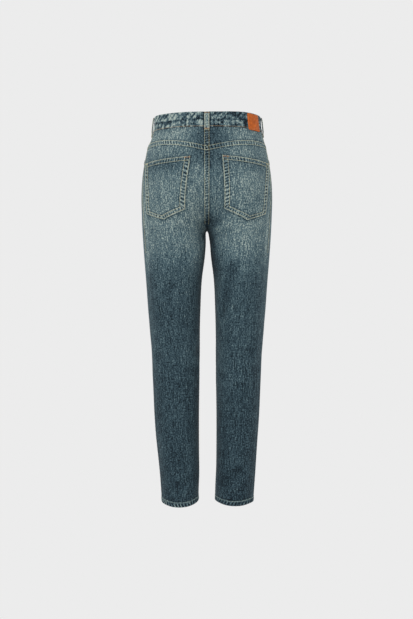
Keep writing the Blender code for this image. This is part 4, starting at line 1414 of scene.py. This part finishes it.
def hem_surface(half, share, height, lift=0.0):
    """Outer points, outward directions, cloth coordinates, and wear with painted crease shade, on a
    hem band.
    """
    share, height = same_shape(share, height)
    way, up = share * SHAPE.length(height), height - HEM
    # The band twists a little as it shrinks, and bunches into upright ridges
    wave = np.tanh(2.3 * bars(way + 0.22 * up, 301 if half > 0 else 305, pitch=0.0088) - 0.35)
    dip = bell(up - (HEM_HEIGHT - HEM_STITCH), 0.0009)
    rise, shade = creases(half, SHAPE.point(share, height))
    middle = smoothstep((HEM_HEIGHT - 0.0026 - up) / 0.002)
    rise = rise + 0.0008 * wave * middle - 0.0004 * dip
    wear_and_shade = 0.23 + 0.03 * half + shade + (0.62 + 0.10 * half) * wave * middle
    wear_and_shade = wear_and_shade - 0.02 * middle + 0.24 * (1.0 - middle)
    wear_and_shade = wear_and_shade + 0.08 * bell(up, 0.0012) + 0.05 * noise(way / 0.02, up / 0.01, seed=309)
    return laid(half, share, height, HEM_WALL / 2 + rise + lift, (way * half, height), wear_and_shade)


def make_hems():
    """Both hem bands, turned up and stitched."""
    share = np.linspace(0.0, 1.0, HEM_LINES + 1)
    height = np.linspace(HEM_TOP, HEM, HEM_LEVELS)[:, None] * np.ones(len(share))
    for half, word in HALVES:
        cloth_piece(
            "hem_" + word, hem_surface(half, share, height), HEM_WALL,
            ring=True, bevel=BAND_BEVEL,
        )


def fly_curve(height):
    """Distance of the fly's long edge from the centre front, and how far down its curve."""
    below = np.clip((FLY_STRAIGHT_TO - height) / (FLY_STRAIGHT_TO - FLY_BOTTOM), 0.0, 1.0)
    return FLY_WIDTH * np.sqrt(np.clip(1.0 - below ** 2, 0.0, 1.0)), below


def fly_inset(across, height):
    """Distance inside the fly's long curved edge."""
    edge, below = fly_curve(height)
    return (edge - across) / np.sqrt(1.0 + (3.0 * below ** 3) ** 2)


def fly_surface(across, height, lift=0.0):
    """Outer points, outward directions, cloth coordinates and wear on the fly.

    across is the distance from the centre front, positive on the wearer's left.
    """
    across, height = same_shape(across, height)
    share = np.abs(across) / SHAPE.length(height)
    inset = fly_inset(across, height)
    wave = bars(height + 0.2 * across, seed=331, pitch=0.0080)
    near = np.exp(-np.abs(inset) / DRAWN_IN)
    rise = 0.00030 * wave * near
    for row in FLY_ROWS_IN:
        rise = rise - 0.0004 * bell(inset - row, 0.0009)
    wear_and_shade = wash(+1, -1, np.abs(across), 0.1 + 0 * across, height) + 0.16 * wave * near
    wear_and_shade = wear_and_shade + 0.08 * bell(across + FLY_LAP, 0.0020)
    halves = np.where(across < 0.0, -1, 1)
    out = 1.5 * DENIM + LAP_GAP + rise + lift
    return laid(halves, share, height, out, (across, height), wear_and_shade)


def make_fly():
    """The fly, lapped left over right, its lower outer corner rounded."""
    straight, curved, lines = FLY_GRID
    turned = np.sin(np.linspace(0.06, 1.52, curved))
    rows = np.concatenate((
        np.linspace(WAIST_SEAM - GAP, FLY_STRAIGHT_TO, straight),
        FLY_STRAIGHT_TO + (FLY_BOTTOM - FLY_STRAIGHT_TO) * turned,
    ))[:, None]
    across = -FLY_LAP + (fly_curve(rows)[0] + FLY_LAP) * edge_spaced(lines, 0.4)
    cloth_piece("fly", fly_surface(across, rows), DENIM, bevel=LAID_BEVEL)


def loop_places():
    """Name, half and distance from the centre front of each belt loop."""
    half_round = float(SHAPE.length(WAIST_TOP))
    side = half_round * float(SHAPE.outseam(WAIST_TOP))
    return (
        ("belt_loop_back", +1, half_round),
        ("belt_loop_side_left", +1, side),
        ("belt_loop_side_right", -1, side),
        ("belt_loop_front_left", +1, FRONT_LOOP_FROM_MIDDLE),
        ("belt_loop_front_right", -1, FRONT_LOOP_FROM_MIDDLE),
    )


def loop_line(count):
    """Heights and stand-off of a loop's outer face, evenly spaced along it."""
    out = BAND / 2 + LOOP_EASE + LOOP_WALL / 2
    seats = [wall / 2 + LAP_GAP + LOOP_WALL / 2 for wall in (BAND, DENIM)]
    corners = []
    for end, bends, standing in LOOP_PROFILE:
        height = LOOP_BOTTOM + bends * LOOP_BEND if end else LOOP_TOP - bends * LOOP_BEND
        corners.append((height, seats[end] + standing * (out - seats[end])))
    corners = np.array(corners)
    for _ in range(3):
        cut = np.empty((2 * len(corners) - 2, 2))
        cut[0::2] = 0.75 * corners[:-1] + 0.25 * corners[1:]
        cut[1::2] = 0.25 * corners[:-1] + 0.75 * corners[1:]
        corners = np.vstack((corners[:1], cut, corners[-1:]))
    return spread_evenly(corners, np.linspace(0.0, 1.0, count))


def loop_surface(half, around, place, across, lift=0.0):
    """Outer points and directions on a loop; place is its line's rows, across is sideways."""
    share = around / SHAPE.length(WAIST_TOP)
    mirror, up_way = np.array((half, 1.0, 1.0)), np.array((0.0, 0.0, 1.0))
    out_way = SHAPE.normal(share, WAIST_SEAM / 2) * mirror
    side_way = np.cross(up_way, out_way)
    side_way /= np.linalg.norm(side_way)
    slope = np.gradient(place, axis=0)
    slope /= np.linalg.norm(slope, axis=1, keepdims=True)
    face = out_way * -slope[:, :1] + up_way * slope[:, 1:]
    base = SHAPE.point(share, place[:, 0]) * mirror + out_way * place[:, 1:]
    points = base[:, None] + side_way * across[None, :, None]
    points = points + face[:, None] * (LOOP_WALL / 2 + lift)
    return hung(points), np.broadcast_to(face[:, None], points.shape)


def make_belt_loops():
    """The five belt loops, each a folded strip."""
    levels, lines = LOOP_GRID
    place = loop_line(levels)
    across = np.linspace(-0.5, 0.5, lines) * LOOP_WIDTH
    run = np.linspace(0.0, 1.0, len(place))[:, None] * 0.055
    fold = 0.00025 * np.cos(across / LOOP_WIDTH * 3 * 2 * math.pi)
    rubbed = bell(np.abs(across) - LOOP_WIDTH / 2, 0.0022)
    pressed = bell(np.abs(across) - LOOP_GROOVE, 0.0009)
    for number, (name, half, around) in enumerate(loop_places()):
        points, normals = loop_surface(half, around, place, across)
        wave = bars(run + 0.3 * across, 351 + number, pitch=0.0078)
        points = points + normals * (fold[None, :, None] + 0.00015 * wave[..., None])
        wear_and_shade = SIDE_LOOP_WEAR if "side" in name else LOOP_WEAR
        # Painted shade in the grooves where the folds meet; the edges are rubbed paler
        wear_and_shade = wear_and_shade + 0.10 * rubbed + 0.10 * wave - 0.22 * pressed
        cloth = np.stack(np.broadcast_arrays(across + 0.1 * number, -run), axis=-1)
        cloth_piece(
            name, (points, normals, cloth, wear_and_shade), LOOP_WALL,
            bevel=LOOP_BEVEL,
        )


def patch_surface(around, height, lift=0.0):
    """Outer points, outward directions, coordinates and wear on the patch."""
    around, height = same_shape(around, height)
    share = 1.0 - around / float(SHAPE.length(WAIST_TOP))
    u = (around - PATCH_FROM) / PATCH_WIDTH
    v = (PATCH_TOP - height) / (PATCH_TOP - PATCH_BOTTOM)
    edge = np.minimum(
        np.minimum(u, 1 - u) * PATCH_WIDTH, np.minimum(v, 1 - v) * (PATCH_TOP - PATCH_BOTTOM)
    )
    rise = 0.0003 * smoothstep(edge / 0.004) - 0.00035 * bell(edge - PATCH_STITCH, 0.0010)
    rise = rise + 0.0003 * noise(around / 0.014, height / 0.012, seed=402)
    wear_and_shade = 0.46 + 0.16 * bell(edge, 0.0016) + 0.22 * bell(u * PATCH_WIDTH, 0.0030)
    wear_and_shade = wear_and_shade - 0.12 * bell(edge - PATCH_STITCH, 0.0012)
    wear_and_shade = wear_and_shade + 0.06 * noise(around / 0.010, height / 0.010, seed=403)
    out = BAND / 2 + GAP + LEATHER + rise + lift
    return laid(-1, share, height, out, (around, height), wear_and_shade)


def make_patch():
    """The leather patch on the back of the waistband, left bare."""
    u = edge_spaced(PATCH_LINES, 0.4)[None, :] * 2.0 - 1.0
    v = u.T
    # Rounded corners: the square's rows and columns are drawn in near them
    tuck = 2 * PATCH_CORNER / PATCH_WIDTH * 0.30
    u, v = u * (1.0 - tuck * np.abs(v) ** 24), v * (1.0 - tuck * np.abs(u) ** 24)
    around = PATCH_FROM + PATCH_WIDTH * (u + 1.0) / 2
    height = PATCH_TOP + (PATCH_BOTTOM - PATCH_TOP) * (v + 1.0) / 2
    cloth_piece(
        "leather_patch", patch_surface(around, height), LEATHER,
        bevel=LAID_BEVEL,
        faces=("vegetable-tanned leather",) * 2,
    )


def make_button():
    """The fastened shank button, turned from its profile."""
    height = WAIST_SEAM / 2
    share = BUTTON_FROM_MIDDLE / float(SHAPE.length(height))
    out = SHAPE.normal(share, height)
    seat = Vector(SHAPE.point(share, height) + out * (END_STEP + BAND / 2 + LAP_GAP))
    turn = Vector(out).to_track_quat("Z", "Y")
    angles = [2 * math.pi * k / BUTTON_SIDES for k in range(BUTTON_SIDES)]
    rings = [(wide * BUTTON_RADIUS, up * BUTTON_HEIGHT) for wide, up in BUTTON_PROFILE[1:-1]]
    points = [
        seat + turn @ Vector((math.cos(angle) * across, math.sin(angle) * across, up))
        for across, up in rings for angle in angles
    ]
    last = len(points) - BUTTON_SIDES
    faces = [
        (low + k, low + BUTTON_SIDES + k, low + BUTTON_SIDES + after, low + after)
        for low in range(0, last, BUTTON_SIDES)
        for k, after in enumerate((*range(1, BUTTON_SIDES), 0))
    ]
    faces.append(tuple(range(BUTTON_SIDES)))
    faces.append(tuple(last + k for k in reversed(range(BUTTON_SIDES))))
    mesh = bpy.data.meshes.new("shank_button")
    mesh.from_pydata(points, [], faces)
    mesh.shade_smooth()
    mesh.set_sharp_from_angle(angle=math.radians(SHARP_FROM))
    mesh.materials.append(shared("antique brass"))
    piece = add_object("shank_button", mesh)
    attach(piece, "root")
    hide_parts("button")


# ---------------------------------------------------------------- sewing


def sewing_tree(name, sizes, build):
    """A node tree, made once, from curves to a mesh of thread; sizes are its inputs in metres."""
    tree = bpy.data.node_groups.get(name)
    if tree:
        return tree
    tree = bpy.data.node_groups.new(name, "GeometryNodeTree")
    face = tree.interface
    face.new_socket("Seams", in_out="INPUT", socket_type="NodeSocketGeometry")
    for label, value in sizes.items():
        socket = face.new_socket(label, in_out="INPUT", socket_type="NodeSocketFloat")
        socket.default_value = value
    face.new_socket("Thread", in_out="INPUT", socket_type="NodeSocketMaterial")
    face.new_socket("Sewing", in_out="OUTPUT", socket_type="NodeSocketGeometry")
    given = tree.nodes.new("NodeGroupInput").outputs
    smooth = add_node(tree, "GeometryNodeSetShadeSmooth", [("Geometry", build(tree, given))])
    dressed = add_node(
        tree, "GeometryNodeSetMaterial",
        [("Geometry", smooth.outputs["Geometry"]), ("Material", given["Thread"])],
    )
    result = tree.nodes.new("NodeGroupOutput")
    tree.links.new(dressed.outputs["Geometry"], result.inputs["Sewing"])
    return tree


def stitches(tree, given):
    """Nodes that set stitches along the curves, each a long bead that leans a little."""
    line = add_node(
        tree, "GeometryNodeResampleCurve", [("Curve", given["Seams"]), ("Length", given["Pitch"])],
        mode="LENGTH",
    )
    ball = add_node(
        tree, "GeometryNodeMeshUVSphere", [("Segments", 6), ("Rings", 4), ("Radius", 1.0)]
    )
    tangent = add_node(tree, "GeometryNodeInputTangent")
    lean = add_node(
        tree, "FunctionNodeRandomValue",
        [("Seed", 7), ("Min", (-STITCH_LEAN,) * 3), ("Max", (STITCH_LEAN,) * 3)],
        data_type="FLOAT_VECTOR",
    )
    way = add_node(
        tree, "ShaderNodeVectorMath", [(0, tangent.outputs[0]), (1, lean.outputs[0])],
        operation="ADD",
    )
    turn = add_node(
        tree, "FunctionNodeAlignRotationToVector", [("Vector", way.outputs[0])], axis="X",
    )
    half_length = maths(tree, "MULTIPLY", given["Stitch length"], 0.5)
    radius = given["Thread radius"]
    size = add_node(
        tree, "ShaderNodeCombineXYZ", [("X", half_length), ("Y", radius), ("Z", radius)]
    )
    placed = add_node(
        tree, "GeometryNodeInstanceOnPoints",
        [("Points", line.outputs["Curve"]), ("Instance", ball.outputs["Mesh"]),
         ("Rotation", turn.outputs["Rotation"]), ("Scale", size.outputs["Vector"])],
    )
    real = add_node(
        tree, "GeometryNodeRealizeInstances", [("Geometry", placed.outputs["Instances"])]
    )
    return real.outputs["Geometry"]


def laid_thread(tree, given):
    """Nodes that lay one thread along the curves, as a bar tack's zigzag."""
    section_line = add_node(
        tree, "GeometryNodeCurvePrimitiveCircle",
        [("Resolution", 5), ("Radius", given["Thread radius"])], mode="RADIUS",
    )
    swept = add_node(
        tree, "GeometryNodeCurveToMesh",
        [("Curve", given["Seams"]), ("Profile Curve", section_line.outputs["Curve"]),
         ("Fill Caps", True)],
    )
    return swept.outputs["Mesh"]


def sewn(name, runs, twine, tree, sizes):
    """Turn runs of points into a plain mesh of thread, through a node tree."""
    curve = bpy.data.curves.new(name + "_path", "CURVE")
    curve.dimensions = "3D"
    for run in runs:
        spline = curve.splines.new("POLY")
        spline.points.add(len(run) - 1)
        flat = np.column_stack((run, np.ones(len(run))))
        spline.points.foreach_set("co", flat.reshape(-1))
    path = add_object(name + "_path", curve)
    nodes = path.modifiers.new("sewing", "NODES")
    nodes.node_group = tree
    values = {**sizes, "Thread": shared(twine)}
    for item in tree.interface.items_tree:
        if item.in_out == "INPUT" and item.name in values:
            nodes[item.identifier] = values[item.name]
    bpy.context.view_layer.update()
    ready = path.evaluated_get(bpy.context.evaluated_depsgraph_get())
    mesh = bpy.data.meshes.new_from_object(ready)
    mesh.name = name
    piece = add_object(name, mesh)
    bpy.data.objects.remove(path, do_unlink=True)
    if len(mesh.polygons) == 0:
        raise RuntimeError(name + " came out empty")
    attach(piece, "root")


def spaced_run(points):
    """Points about a stitch-point step apart along a polyline in two coordinates."""
    points = np.array(points, float)
    length = np.hypot(*np.diff(points, axis=0).T).sum()
    return spread_evenly(points, np.linspace(0.0, 1.0, max(int(length / STITCH_POINT_STEP), 2) + 1))


def stepped(top, bottom):
    """Heights from one down to another, a stitch-point step apart."""
    return np.arange(top, bottom, -STITCH_POINT_STEP)


def on_back(half, inner, height, kind="back"):
    """Stitch points on a back, yoke or back pocket, at distances from the back seam."""
    share = 1.0 - inner / SHAPE.length(height)
    return surface(half, kind, share, height, THREAD_LIFT)[0]


def back_runs():
    """Stitch rows along the back seam, the yoke seams and the upper outseams."""
    seat = stepped(WAIST_SEAM - ROW_START, CROTCH + SEAM_ROW_STOPS)
    runs = [on_back(half, abs(BACK_SEAM_ROWS[0]) + 0.0 * seat, seat) for half in (-1, +1)]
    down = stepped(WAIST_SEAM - ROW_START, OUTSEAM_STITCH_TO)
    edge = float(SHAPE.width(+1, YOKE_SEAM_SIDE))
    inner = np.arange(0.0006, edge - 0.001, STITCH_POINT_STEP)
    for half, _ in HALVES:
        runs += [on_back(half, inner, yoke_seam_at(inner) - row) for row in YOKE_ROWS]
        runs.append(on_back(half, SHAPE.width(+1, down) - OUTSEAM_STITCH, down))
    return runs


def inset_corner(before, corner, after, first, second):
    """Where two edges cross once each is moved inside by its own distance."""
    ways = []
    for (a0, z0), (a1, z1) in ((before, corner), (corner, after)):
        long = math.hypot(a1 - a0, z1 - z0)
        ways.append(((a1 - a0) / long, (z1 - z0) / long))
    (da, dz), (ea, ez) = ways
    start = (corner[0] - dz * first, corner[1] + da * first)
    other = (corner[0] - ez * second, corner[1] + ea * second)
    turn = da * ez - dz * ea
    t = ((other[0] - start[0]) * ez - (other[1] - start[1]) * ea) / turn
    return start[0] + da * t, start[1] + dz * t


def pocket_runs(half):
    """The two stitch rows round a back pocket, and those along its top hem."""
    pocket = POCKETS[half]
    count, lines = len(pocket), []
    for row in (0, 1):
        # The rows round the pocket reach its top edge, where the hem has rows of its own
        insets = [rows[row] for rows in POCKET_ROWS]
        insets[-1] = POCKET_ROWS[-1][0] if row else POCKET_TOP_INSET
        lines.append([
            inset_corner(
                pocket[k - 1], pocket[k], pocket[(k + 1) % count], insets[k - 1], insets[k]
            )
            for k in range(count)
        ])
        inside = POCKET_ROWS[-1][row]
        lines.append((
            inset_corner(pocket[4], pocket[0], pocket[1], inside, TOP_ROW_INSET),
            inset_corner(pocket[3], pocket[4], pocket[0], TOP_ROW_INSET, inside),
        ))
    return [on_back(half, *spaced_run(line).T, "back_pocket") for line in lines]


def on_front(half, inner, height):
    """Stitch points on a front, at distances from the centre front."""
    return surface(half, "front", inner / SHAPE.length(height), height, THREAD_LIFT)[0]


def front_runs():
    """Stitch rows along the pocket edges, the fly and the centre front seam."""
    runs = []
    reach = (1.0 - SCOOP_FROM) * float(SHAPE.width(-1, WAIST_SEAM))
    turn = np.linspace(0.05, math.pi / 2, SCOOP_STITCH_POINTS)
    for half, _ in HALVES:
        for row in SCOOP_ROWS:
            across = 1.0 - (1.0 - SCOOP_FROM) * np.cos(turn) * (1.0 + row / reach)
            height = WAIST_SEAM - GAP - (SCOOP_DEPTH + row) * np.sin(turn)
            inner = np.clip(across, 0.0, SCOOP_ROW_TO) * SHAPE.width(-1, height)
            runs.append(on_front(half, inner, height))
    down = stepped(FLY_BOTTOM - FLY_ROW_START, CROTCH + SEAM_ROW_STOPS)
    runs += [on_front(half, abs(BACK_SEAM_ROWS[0]) + 0.0 * down, down) for half in (-1, +1)]
    straight = stepped(WAIST_SEAM - FLY_ROW_START, FLY_STRAIGHT_TO)
    turn = np.linspace(0.0, 1.44, FLY_STITCH_POINTS)
    for row in FLY_ROWS_IN:
        wide, deep = FLY_WIDTH - row, FLY_STRAIGHT_TO - FLY_BOTTOM - row
        across = np.concatenate((0.0 * straight + wide, wide * np.cos(turn)))
        height = np.concatenate((straight, FLY_STRAIGHT_TO - deep * np.sin(turn)))
        line = spaced_run(np.column_stack((across, height)))
        runs.append(fly_surface(*line.T, THREAD_LIFT)[0])
    height = stepped(WAIST_SEAM - FLY_ROW_START, FLY_BOTTOM + 0.006)
    runs.append(fly_surface(0.0 * height - FLY_LAP + 0.0020, height, THREAD_LIFT)[0])
    return runs


def band_runs():
    """The stitch row along the waistband's lower edge."""
    line = band_line(STITCH_POINT_STEP)
    shown = line[-1] > UNDERLAP + OVERLAP + 0.001
    height = np.full(int(shown.sum()), WAIST_SEAM + WAIST_STITCH)
    return [band_surface(*(values[shown] for values in line), height, THREAD_LIFT)[0]]


def hem_runs():
    """The stitch row round each hem."""
    share = np.arange(0.0, 1.0, STITCH_POINT_STEP / float(SHAPE.length(HEM)))
    height = np.full(len(share), HEM_TOP - HEM_STITCH)
    return [hem_surface(half, share, height, THREAD_LIFT)[0] for half, _ in HALVES]


def loop_runs():
    """Two rows of stitches down each belt loop."""
    place = loop_line(LOOP_STITCH_POINTS)
    rows = np.array((-1, 1)) * (LOOP_WIDTH / 2 - LOOP_ROW_INSET)
    runs = []
    for _, half, around in loop_places():
        points, _ = loop_surface(half, around, place, rows, 0.0004)
        runs += [points[2:-2, 0], points[2:-2, 1]]
    return runs


def zigzag(start, end, out, width, spacing=0.00062, lift=0.0004):
    """A bar tack's thread from one point to another, to and fro across its width."""
    way = end - start
    side = np.cross(out, way)
    side /= np.linalg.norm(side)
    count = max(int(np.linalg.norm(way) / spacing), 4)
    t = np.linspace(0.0, 1.0, count + 1)
    swing = np.where(np.arange(count + 1) % 2, 0.5, -0.5) * width
    return start + way * t[:, None] + side * swing[:, None] + out * lift


def tack_runs():
    """Bar tacks: orange at the pockets' inner corners, the fly and the loops, others sand."""
    orange, sand = [], []
    for half, _ in HALVES:
        (a, z), (b, y) = POCKETS[half][0], POCKETS[half][4]
        slope = (y - z) / (b - a)
        for start, end, runs in ((a + 0.0020, a + 0.0160, orange), (b - 0.0145, b - 0.0020, sand)):
            places = np.array((start, end))
            heights = z + slope * (places - a) - 0.0030
            share = 1.0 - places / SHAPE.length(heights)
            points, out = surface(half, "back_pocket", share, heights)[:2]
            runs.append(zigzag(*points, out[0], POCKET_TACK_WIDTH))
    for across, heights in FLY_TACKS:
        points, out = fly_surface(across, heights)[:2]
        orange.append(zigzag(*points, out[0], FLY_TACK_WIDTH))
    place = loop_line(LOOP_STITCH_POINTS)
    sides = np.array((-0.5, 0.5)) * (LOOP_WIDTH - 0.0012)
    for _, half, around in loop_places():
        points, out = loop_surface(half, around, place, sides)
        for row, runs in ((3, orange), (len(place) - 6, orange), (len(place) - 3, sand)):
            runs.append(zigzag(*points[row], out[row, 0], LOOP_TACK_WIDTH))
    return orange, sand


def patch_runs():
    """The stitch row round the patch."""
    e = PATCH_STITCH
    near, far = PATCH_FROM + e, PATCH_FROM + PATCH_WIDTH - e
    top, bottom = PATCH_TOP - e, PATCH_BOTTOM + e
    line = spaced_run(((near, top), (far, top), (far, bottom), (near, bottom), (near, top)))
    return [patch_surface(*line.T, THREAD_LIFT)[0]]


def buttonhole_runs():
    """The whipped edge of the buttonhole, showing beside the button."""
    turn = np.linspace(0.0, 2 * math.pi, BUTTONHOLE_TURNS)
    swing = np.where(np.arange(BUTTONHOLE_TURNS) % 2, 1.0, 1.55)
    along_hole = 0.0105 * np.sign(np.cos(turn)) * np.abs(np.cos(turn)) ** 0.5
    up = 0.0019 * np.sign(np.sin(turn)) * np.abs(np.sin(turn)) ** 0.7
    across = BUTTON_FROM_MIDDLE - 0.002 + along_hole * (0.94 + 0.06 * swing)
    height = WAIST_SEAM / 2 + up * swing
    share = np.abs(across) / SHAPE.length(height)
    out = SHAPE.normal(0.0, WAIST_SEAM / 2)
    return [SHAPE.point(share, height) + out * (END_STEP + BAND / 2 + 0.0002)]


def make_sewing():
    """All top-stitching, bar tacks and the buttonhole."""
    chosen = bpy.context.scene.jeans_sizes
    sizes = {"Pitch": chosen.stitch_pitch, "Stitch length": chosen.stitch_length,
             "Thread radius": chosen.thread_radius}
    tree = sewing_tree("stitches along seams", sizes, stitches)
    for name, runs, slot, twine in (
        ("stitches_back", back_runs(), "denim", "sand thread"),
        ("stitches_pocket_left", pocket_runs(+1), "denim_seat", "sand thread"),
        ("stitches_pocket_right", pocket_runs(-1), "denim_seat", "sand thread"),
        ("stitches_front", front_runs(), "denim", "sand thread"),
        ("stitches_belt_loops", loop_runs(), "denim_seat", "sand thread"),
        ("stitches_waistband", band_runs(), "denim_seat", "tan thread"),
        ("stitches_hems", hem_runs(), "denim", "grey thread"),
        ("stitches_patch", patch_runs(), "leather", "orange thread"),
    ):
        sewn(name, runs, twine, tree, sizes)
    sizes = {"Thread radius": TACK_RADIUS}
    tree = sewing_tree("thread laid along a path", sizes, laid_thread)
    orange, sand = tack_runs()
    for name, runs, twine in (
        ("bar_tacks_orange", orange, "orange thread"),
        ("bar_tacks_sand", sand, "sand thread"),
        ("buttonhole", buttonhole_runs(), "sand thread"),
    ):
        sewn(name, runs, twine, tree, sizes)


# ---------------------------------------------------------------- stage


def sun(name, azimuth, elevation, strength, spread):
    """A soft light from far away; azimuth 0 is from behind the garment, the camera's side."""
    data = bpy.data.lights.new(name, "SUN")
    data.energy = strength * math.pi
    data.angle = math.radians(spread)
    a, e = math.radians(azimuth), math.radians(elevation)
    source = Vector((math.sin(a) * math.cos(e), math.cos(a) * math.cos(e), math.sin(e)))
    add_object(name, data).rotation_euler = source.to_track_quat("Z", "Y").to_euler()


def make_stage():
    """A pale floor, soft studio light and the camera behind the garment."""
    scene = bpy.context.scene
    pale = (*scene.jeans_colours.floor, 1.0)
    mesh = bpy.data.meshes.new("pale_floor")
    square = ((-1, -1), (1, -1), (1, 1), (-1, 1))
    corners = [(FLOOR_HALF * x, FLOOR_HALF * y, FLOOR) for x, y in square]
    mesh.from_pydata(corners, [], [(0, 1, 2, 3)])
    floor = add_object("pale_floor", mesh)
    material, _, shader = finish("matt studio paper", 0.95, specular=0.0)
    for label, value in (
        ("Base Color", (0.0, 0.0, 0.0, 1.0)), ("Emission Color", pale), ("Emission Strength", 1.0),
    ):
        shader.inputs[label].default_value = value
    mesh.materials.append(material)
    scene.world = bpy.data.worlds.new("studio")
    scene.world.use_nodes = True
    tree = scene.world.node_tree
    tree.nodes.clear()
    seen, around = (
        add_node(tree, "ShaderNodeBackground", [("Color", shade), ("Strength", strength)])
        for shade, strength in ((pale, 1.0), (SKY_COLOUR, SKY_STRENGTH))
    )
    rays = add_node(tree, "ShaderNodeLightPath")
    mix = add_node(
        tree, "ShaderNodeMixShader",
        [(0, rays.outputs["Is Camera Ray"]), (1, around.outputs[0]), (2, seen.outputs[0])],
    )
    add_node(tree, "ShaderNodeOutputWorld", [("Surface", mix.outputs[0])])
    for light in LIGHTS:
        sun(*light)
    data = bpy.data.cameras.new("camera")
    data.sensor_fit = "VERTICAL"
    data.sensor_height = SENSOR
    data.lens = SENSOR * EYE_DISTANCE / (IMAGE_ROWS * MILLIMETRES_A_PIXEL / 1000)
    camera = add_object("camera", data)
    camera.location = (EYE_ASIDE, EYE_DISTANCE, EYE_HEIGHT)
    camera.rotation_euler = (math.pi / 2, 0.0, math.pi)
    scene.camera = camera
    scene.view_settings.view_transform = "Standard"


# ---------------------------------------------------------------- add-on


def colour_property(name, description, hex_colour):
    """A colour that the user can change."""
    return bpy.props.FloatVectorProperty(
        name=name, description=description, subtype="COLOR", size=3, min=0.0, max=1.0,
        default=colour(hex_colour),
    )


def length_property(name, description, default, least, most, precision):
    """A length that the user can change."""
    return bpy.props.FloatProperty(
        name=name, description=description, default=default, min=least, max=most,
        subtype="DISTANCE", unit="LENGTH", precision=precision,
    )


class JeansColours(bpy.types.PropertyGroup):
    """Colours of the cloth, threads, leather, metal and floor"""
    indigo: colour_property("Indigo", "Denim that the wash hardly reached", "#0f1b22")
    dark_denim: colour_property("Dark denim", "Denim of the lower legs", "#2b3d46")
    middle_denim: colour_property("Middle denim", "Denim between dark and faded", "#43575f")
    washed_denim: colour_property("Washed denim", "Faded denim of seat and thighs", "#60767b")
    rubbed_denim: colour_property("Rubbed denim", "Seam ridges worn to the weft", "#a7b3ab")
    inside: colour_property("Inside", "The cloth's pale wrong side", "#a7b0b2")
    inside_fleck: colour_property("Inside fleck", "Blue flecks on the wrong side", "#51636d")
    thread: colour_property("Thread", "Top-stitching", "#cfc69b")
    waist_thread: colour_property("Waist thread", "Top-stitching of the waistband", "#bb9560")
    hem_thread: colour_property("Hem thread", "Top-stitching of the hems", "#96a295")
    bar_tack: colour_property("Bar tack", "Orange thread of the bar tacks", "#d07a30")
    leather: colour_property("Leather", "Face of the patch", "#d2691f")
    leather_dark: colour_property("Leather, dark", "Pores and creases of the patch", "#93430f")
    brass: colour_property("Brass", "Bright brass of the button", "#b8925c")
    brass_dark: colour_property("Brass, dark", "Tarnished brass", "#6b4f2f")
    floor: colour_property("Floor", "Studio floor and background", "#ececec")


class JeansSizes(bpy.types.PropertyGroup):
    """Sizes of the sewing"""
    stitch_pitch: length_property(
        "Stitch pitch", "From one stitch to the next", 0.0032, 0.002, 0.006, 4,
    )
    stitch_length: length_property(
        "Stitch length", "Thread that shows in one stitch", 0.0027, 0.001, 0.006, 4,
    )
    thread_radius: length_property(
        "Thread radius", "Half the thread's thickness", 0.00052, 0.0001, 0.001, 5,
    )


def operator(name, label, description, *makers):
    """An operator class that makes one piece or group of like pieces."""
    def execute(self, context):
        for maker in makers:
            maker()
        return {"FINISHED"}

    return type(
        "JEANS_OT_" + name, (bpy.types.Operator,),
        {"bl_idname": "jeans." + name, "bl_label": label, "__doc__": description,
         "bl_options": {"REGISTER", "UNDO"}, "execute": execute},
    )


OPERATORS = (
    operator("stage", "Stage", "Add the floor, the studio light and the camera", make_stage),
    operator("backs", "Backs", "Make both backs", make_backs),
    operator("yokes", "Yokes", "Make both yokes", make_yokes),
    operator("fronts", "Fronts", "Make both fronts", make_fronts),
    operator("facings", "Front pocket facings", "Make both front pocket facings", make_facings),
    operator("back_pockets", "Back pockets", "Make both back pockets", make_back_pockets),
    operator("fly", "Fly", "Make the fly", make_fly),
    operator("waistband", "Waistband", "Make the waistband", make_waistband),
    operator("hems", "Hem bands", "Make both hem bands", make_hems),
    operator("belt_loops", "Belt loops", "Make the five belt loops", make_belt_loops),
    operator("patch", "Leather patch", "Make the leather patch", make_patch),
    operator("button", "Button", "Make the waistband button", make_button),
    operator("sewing", "Sewing", "Sew every row of stitches and bar tack", make_sewing),
)


class JEANS_PT_pieces(bpy.types.Panel):
    """Lists the jeans' pieces, sizes and colours"""
    bl_label = "Washed Jeans"
    bl_idname = "JEANS_PT_pieces"
    bl_space_type = "VIEW_3D"
    bl_region_type = "UI"
    bl_category = "Jeans"

    def draw(self, context):
        """Show the sizes and colours, and a button for each operator."""
        for group in (context.scene.jeans_sizes, context.scene.jeans_colours):
            for name in group.__annotations__:
                self.layout.prop(group, name)
        for kind in OPERATORS:
            self.layout.operator(kind.bl_idname)


CLASSES = (JeansColours, JeansSizes, *OPERATORS, JEANS_PT_pieces)


def register():
    """Register the classes and their properties."""
    for kind in CLASSES:
        bpy.utils.register_class(kind)
    bpy.types.Scene.jeans_colours = bpy.props.PointerProperty(type=JeansColours)
    bpy.types.Scene.jeans_sizes = bpy.props.PointerProperty(type=JeansSizes)


def unregister():
    """Take the properties and classes away again."""
    del bpy.types.Scene.jeans_sizes
    del bpy.types.Scene.jeans_colours
    for kind in reversed(CLASSES):
        bpy.utils.unregister_class(kind)


def main():
    """Make every piece in order."""
    register()
    for kind in OPERATORS:
        group, name = kind.bl_idname.split(".")
        getattr(getattr(bpy.ops, group), name)()


if __name__ == "__main__":
    main()
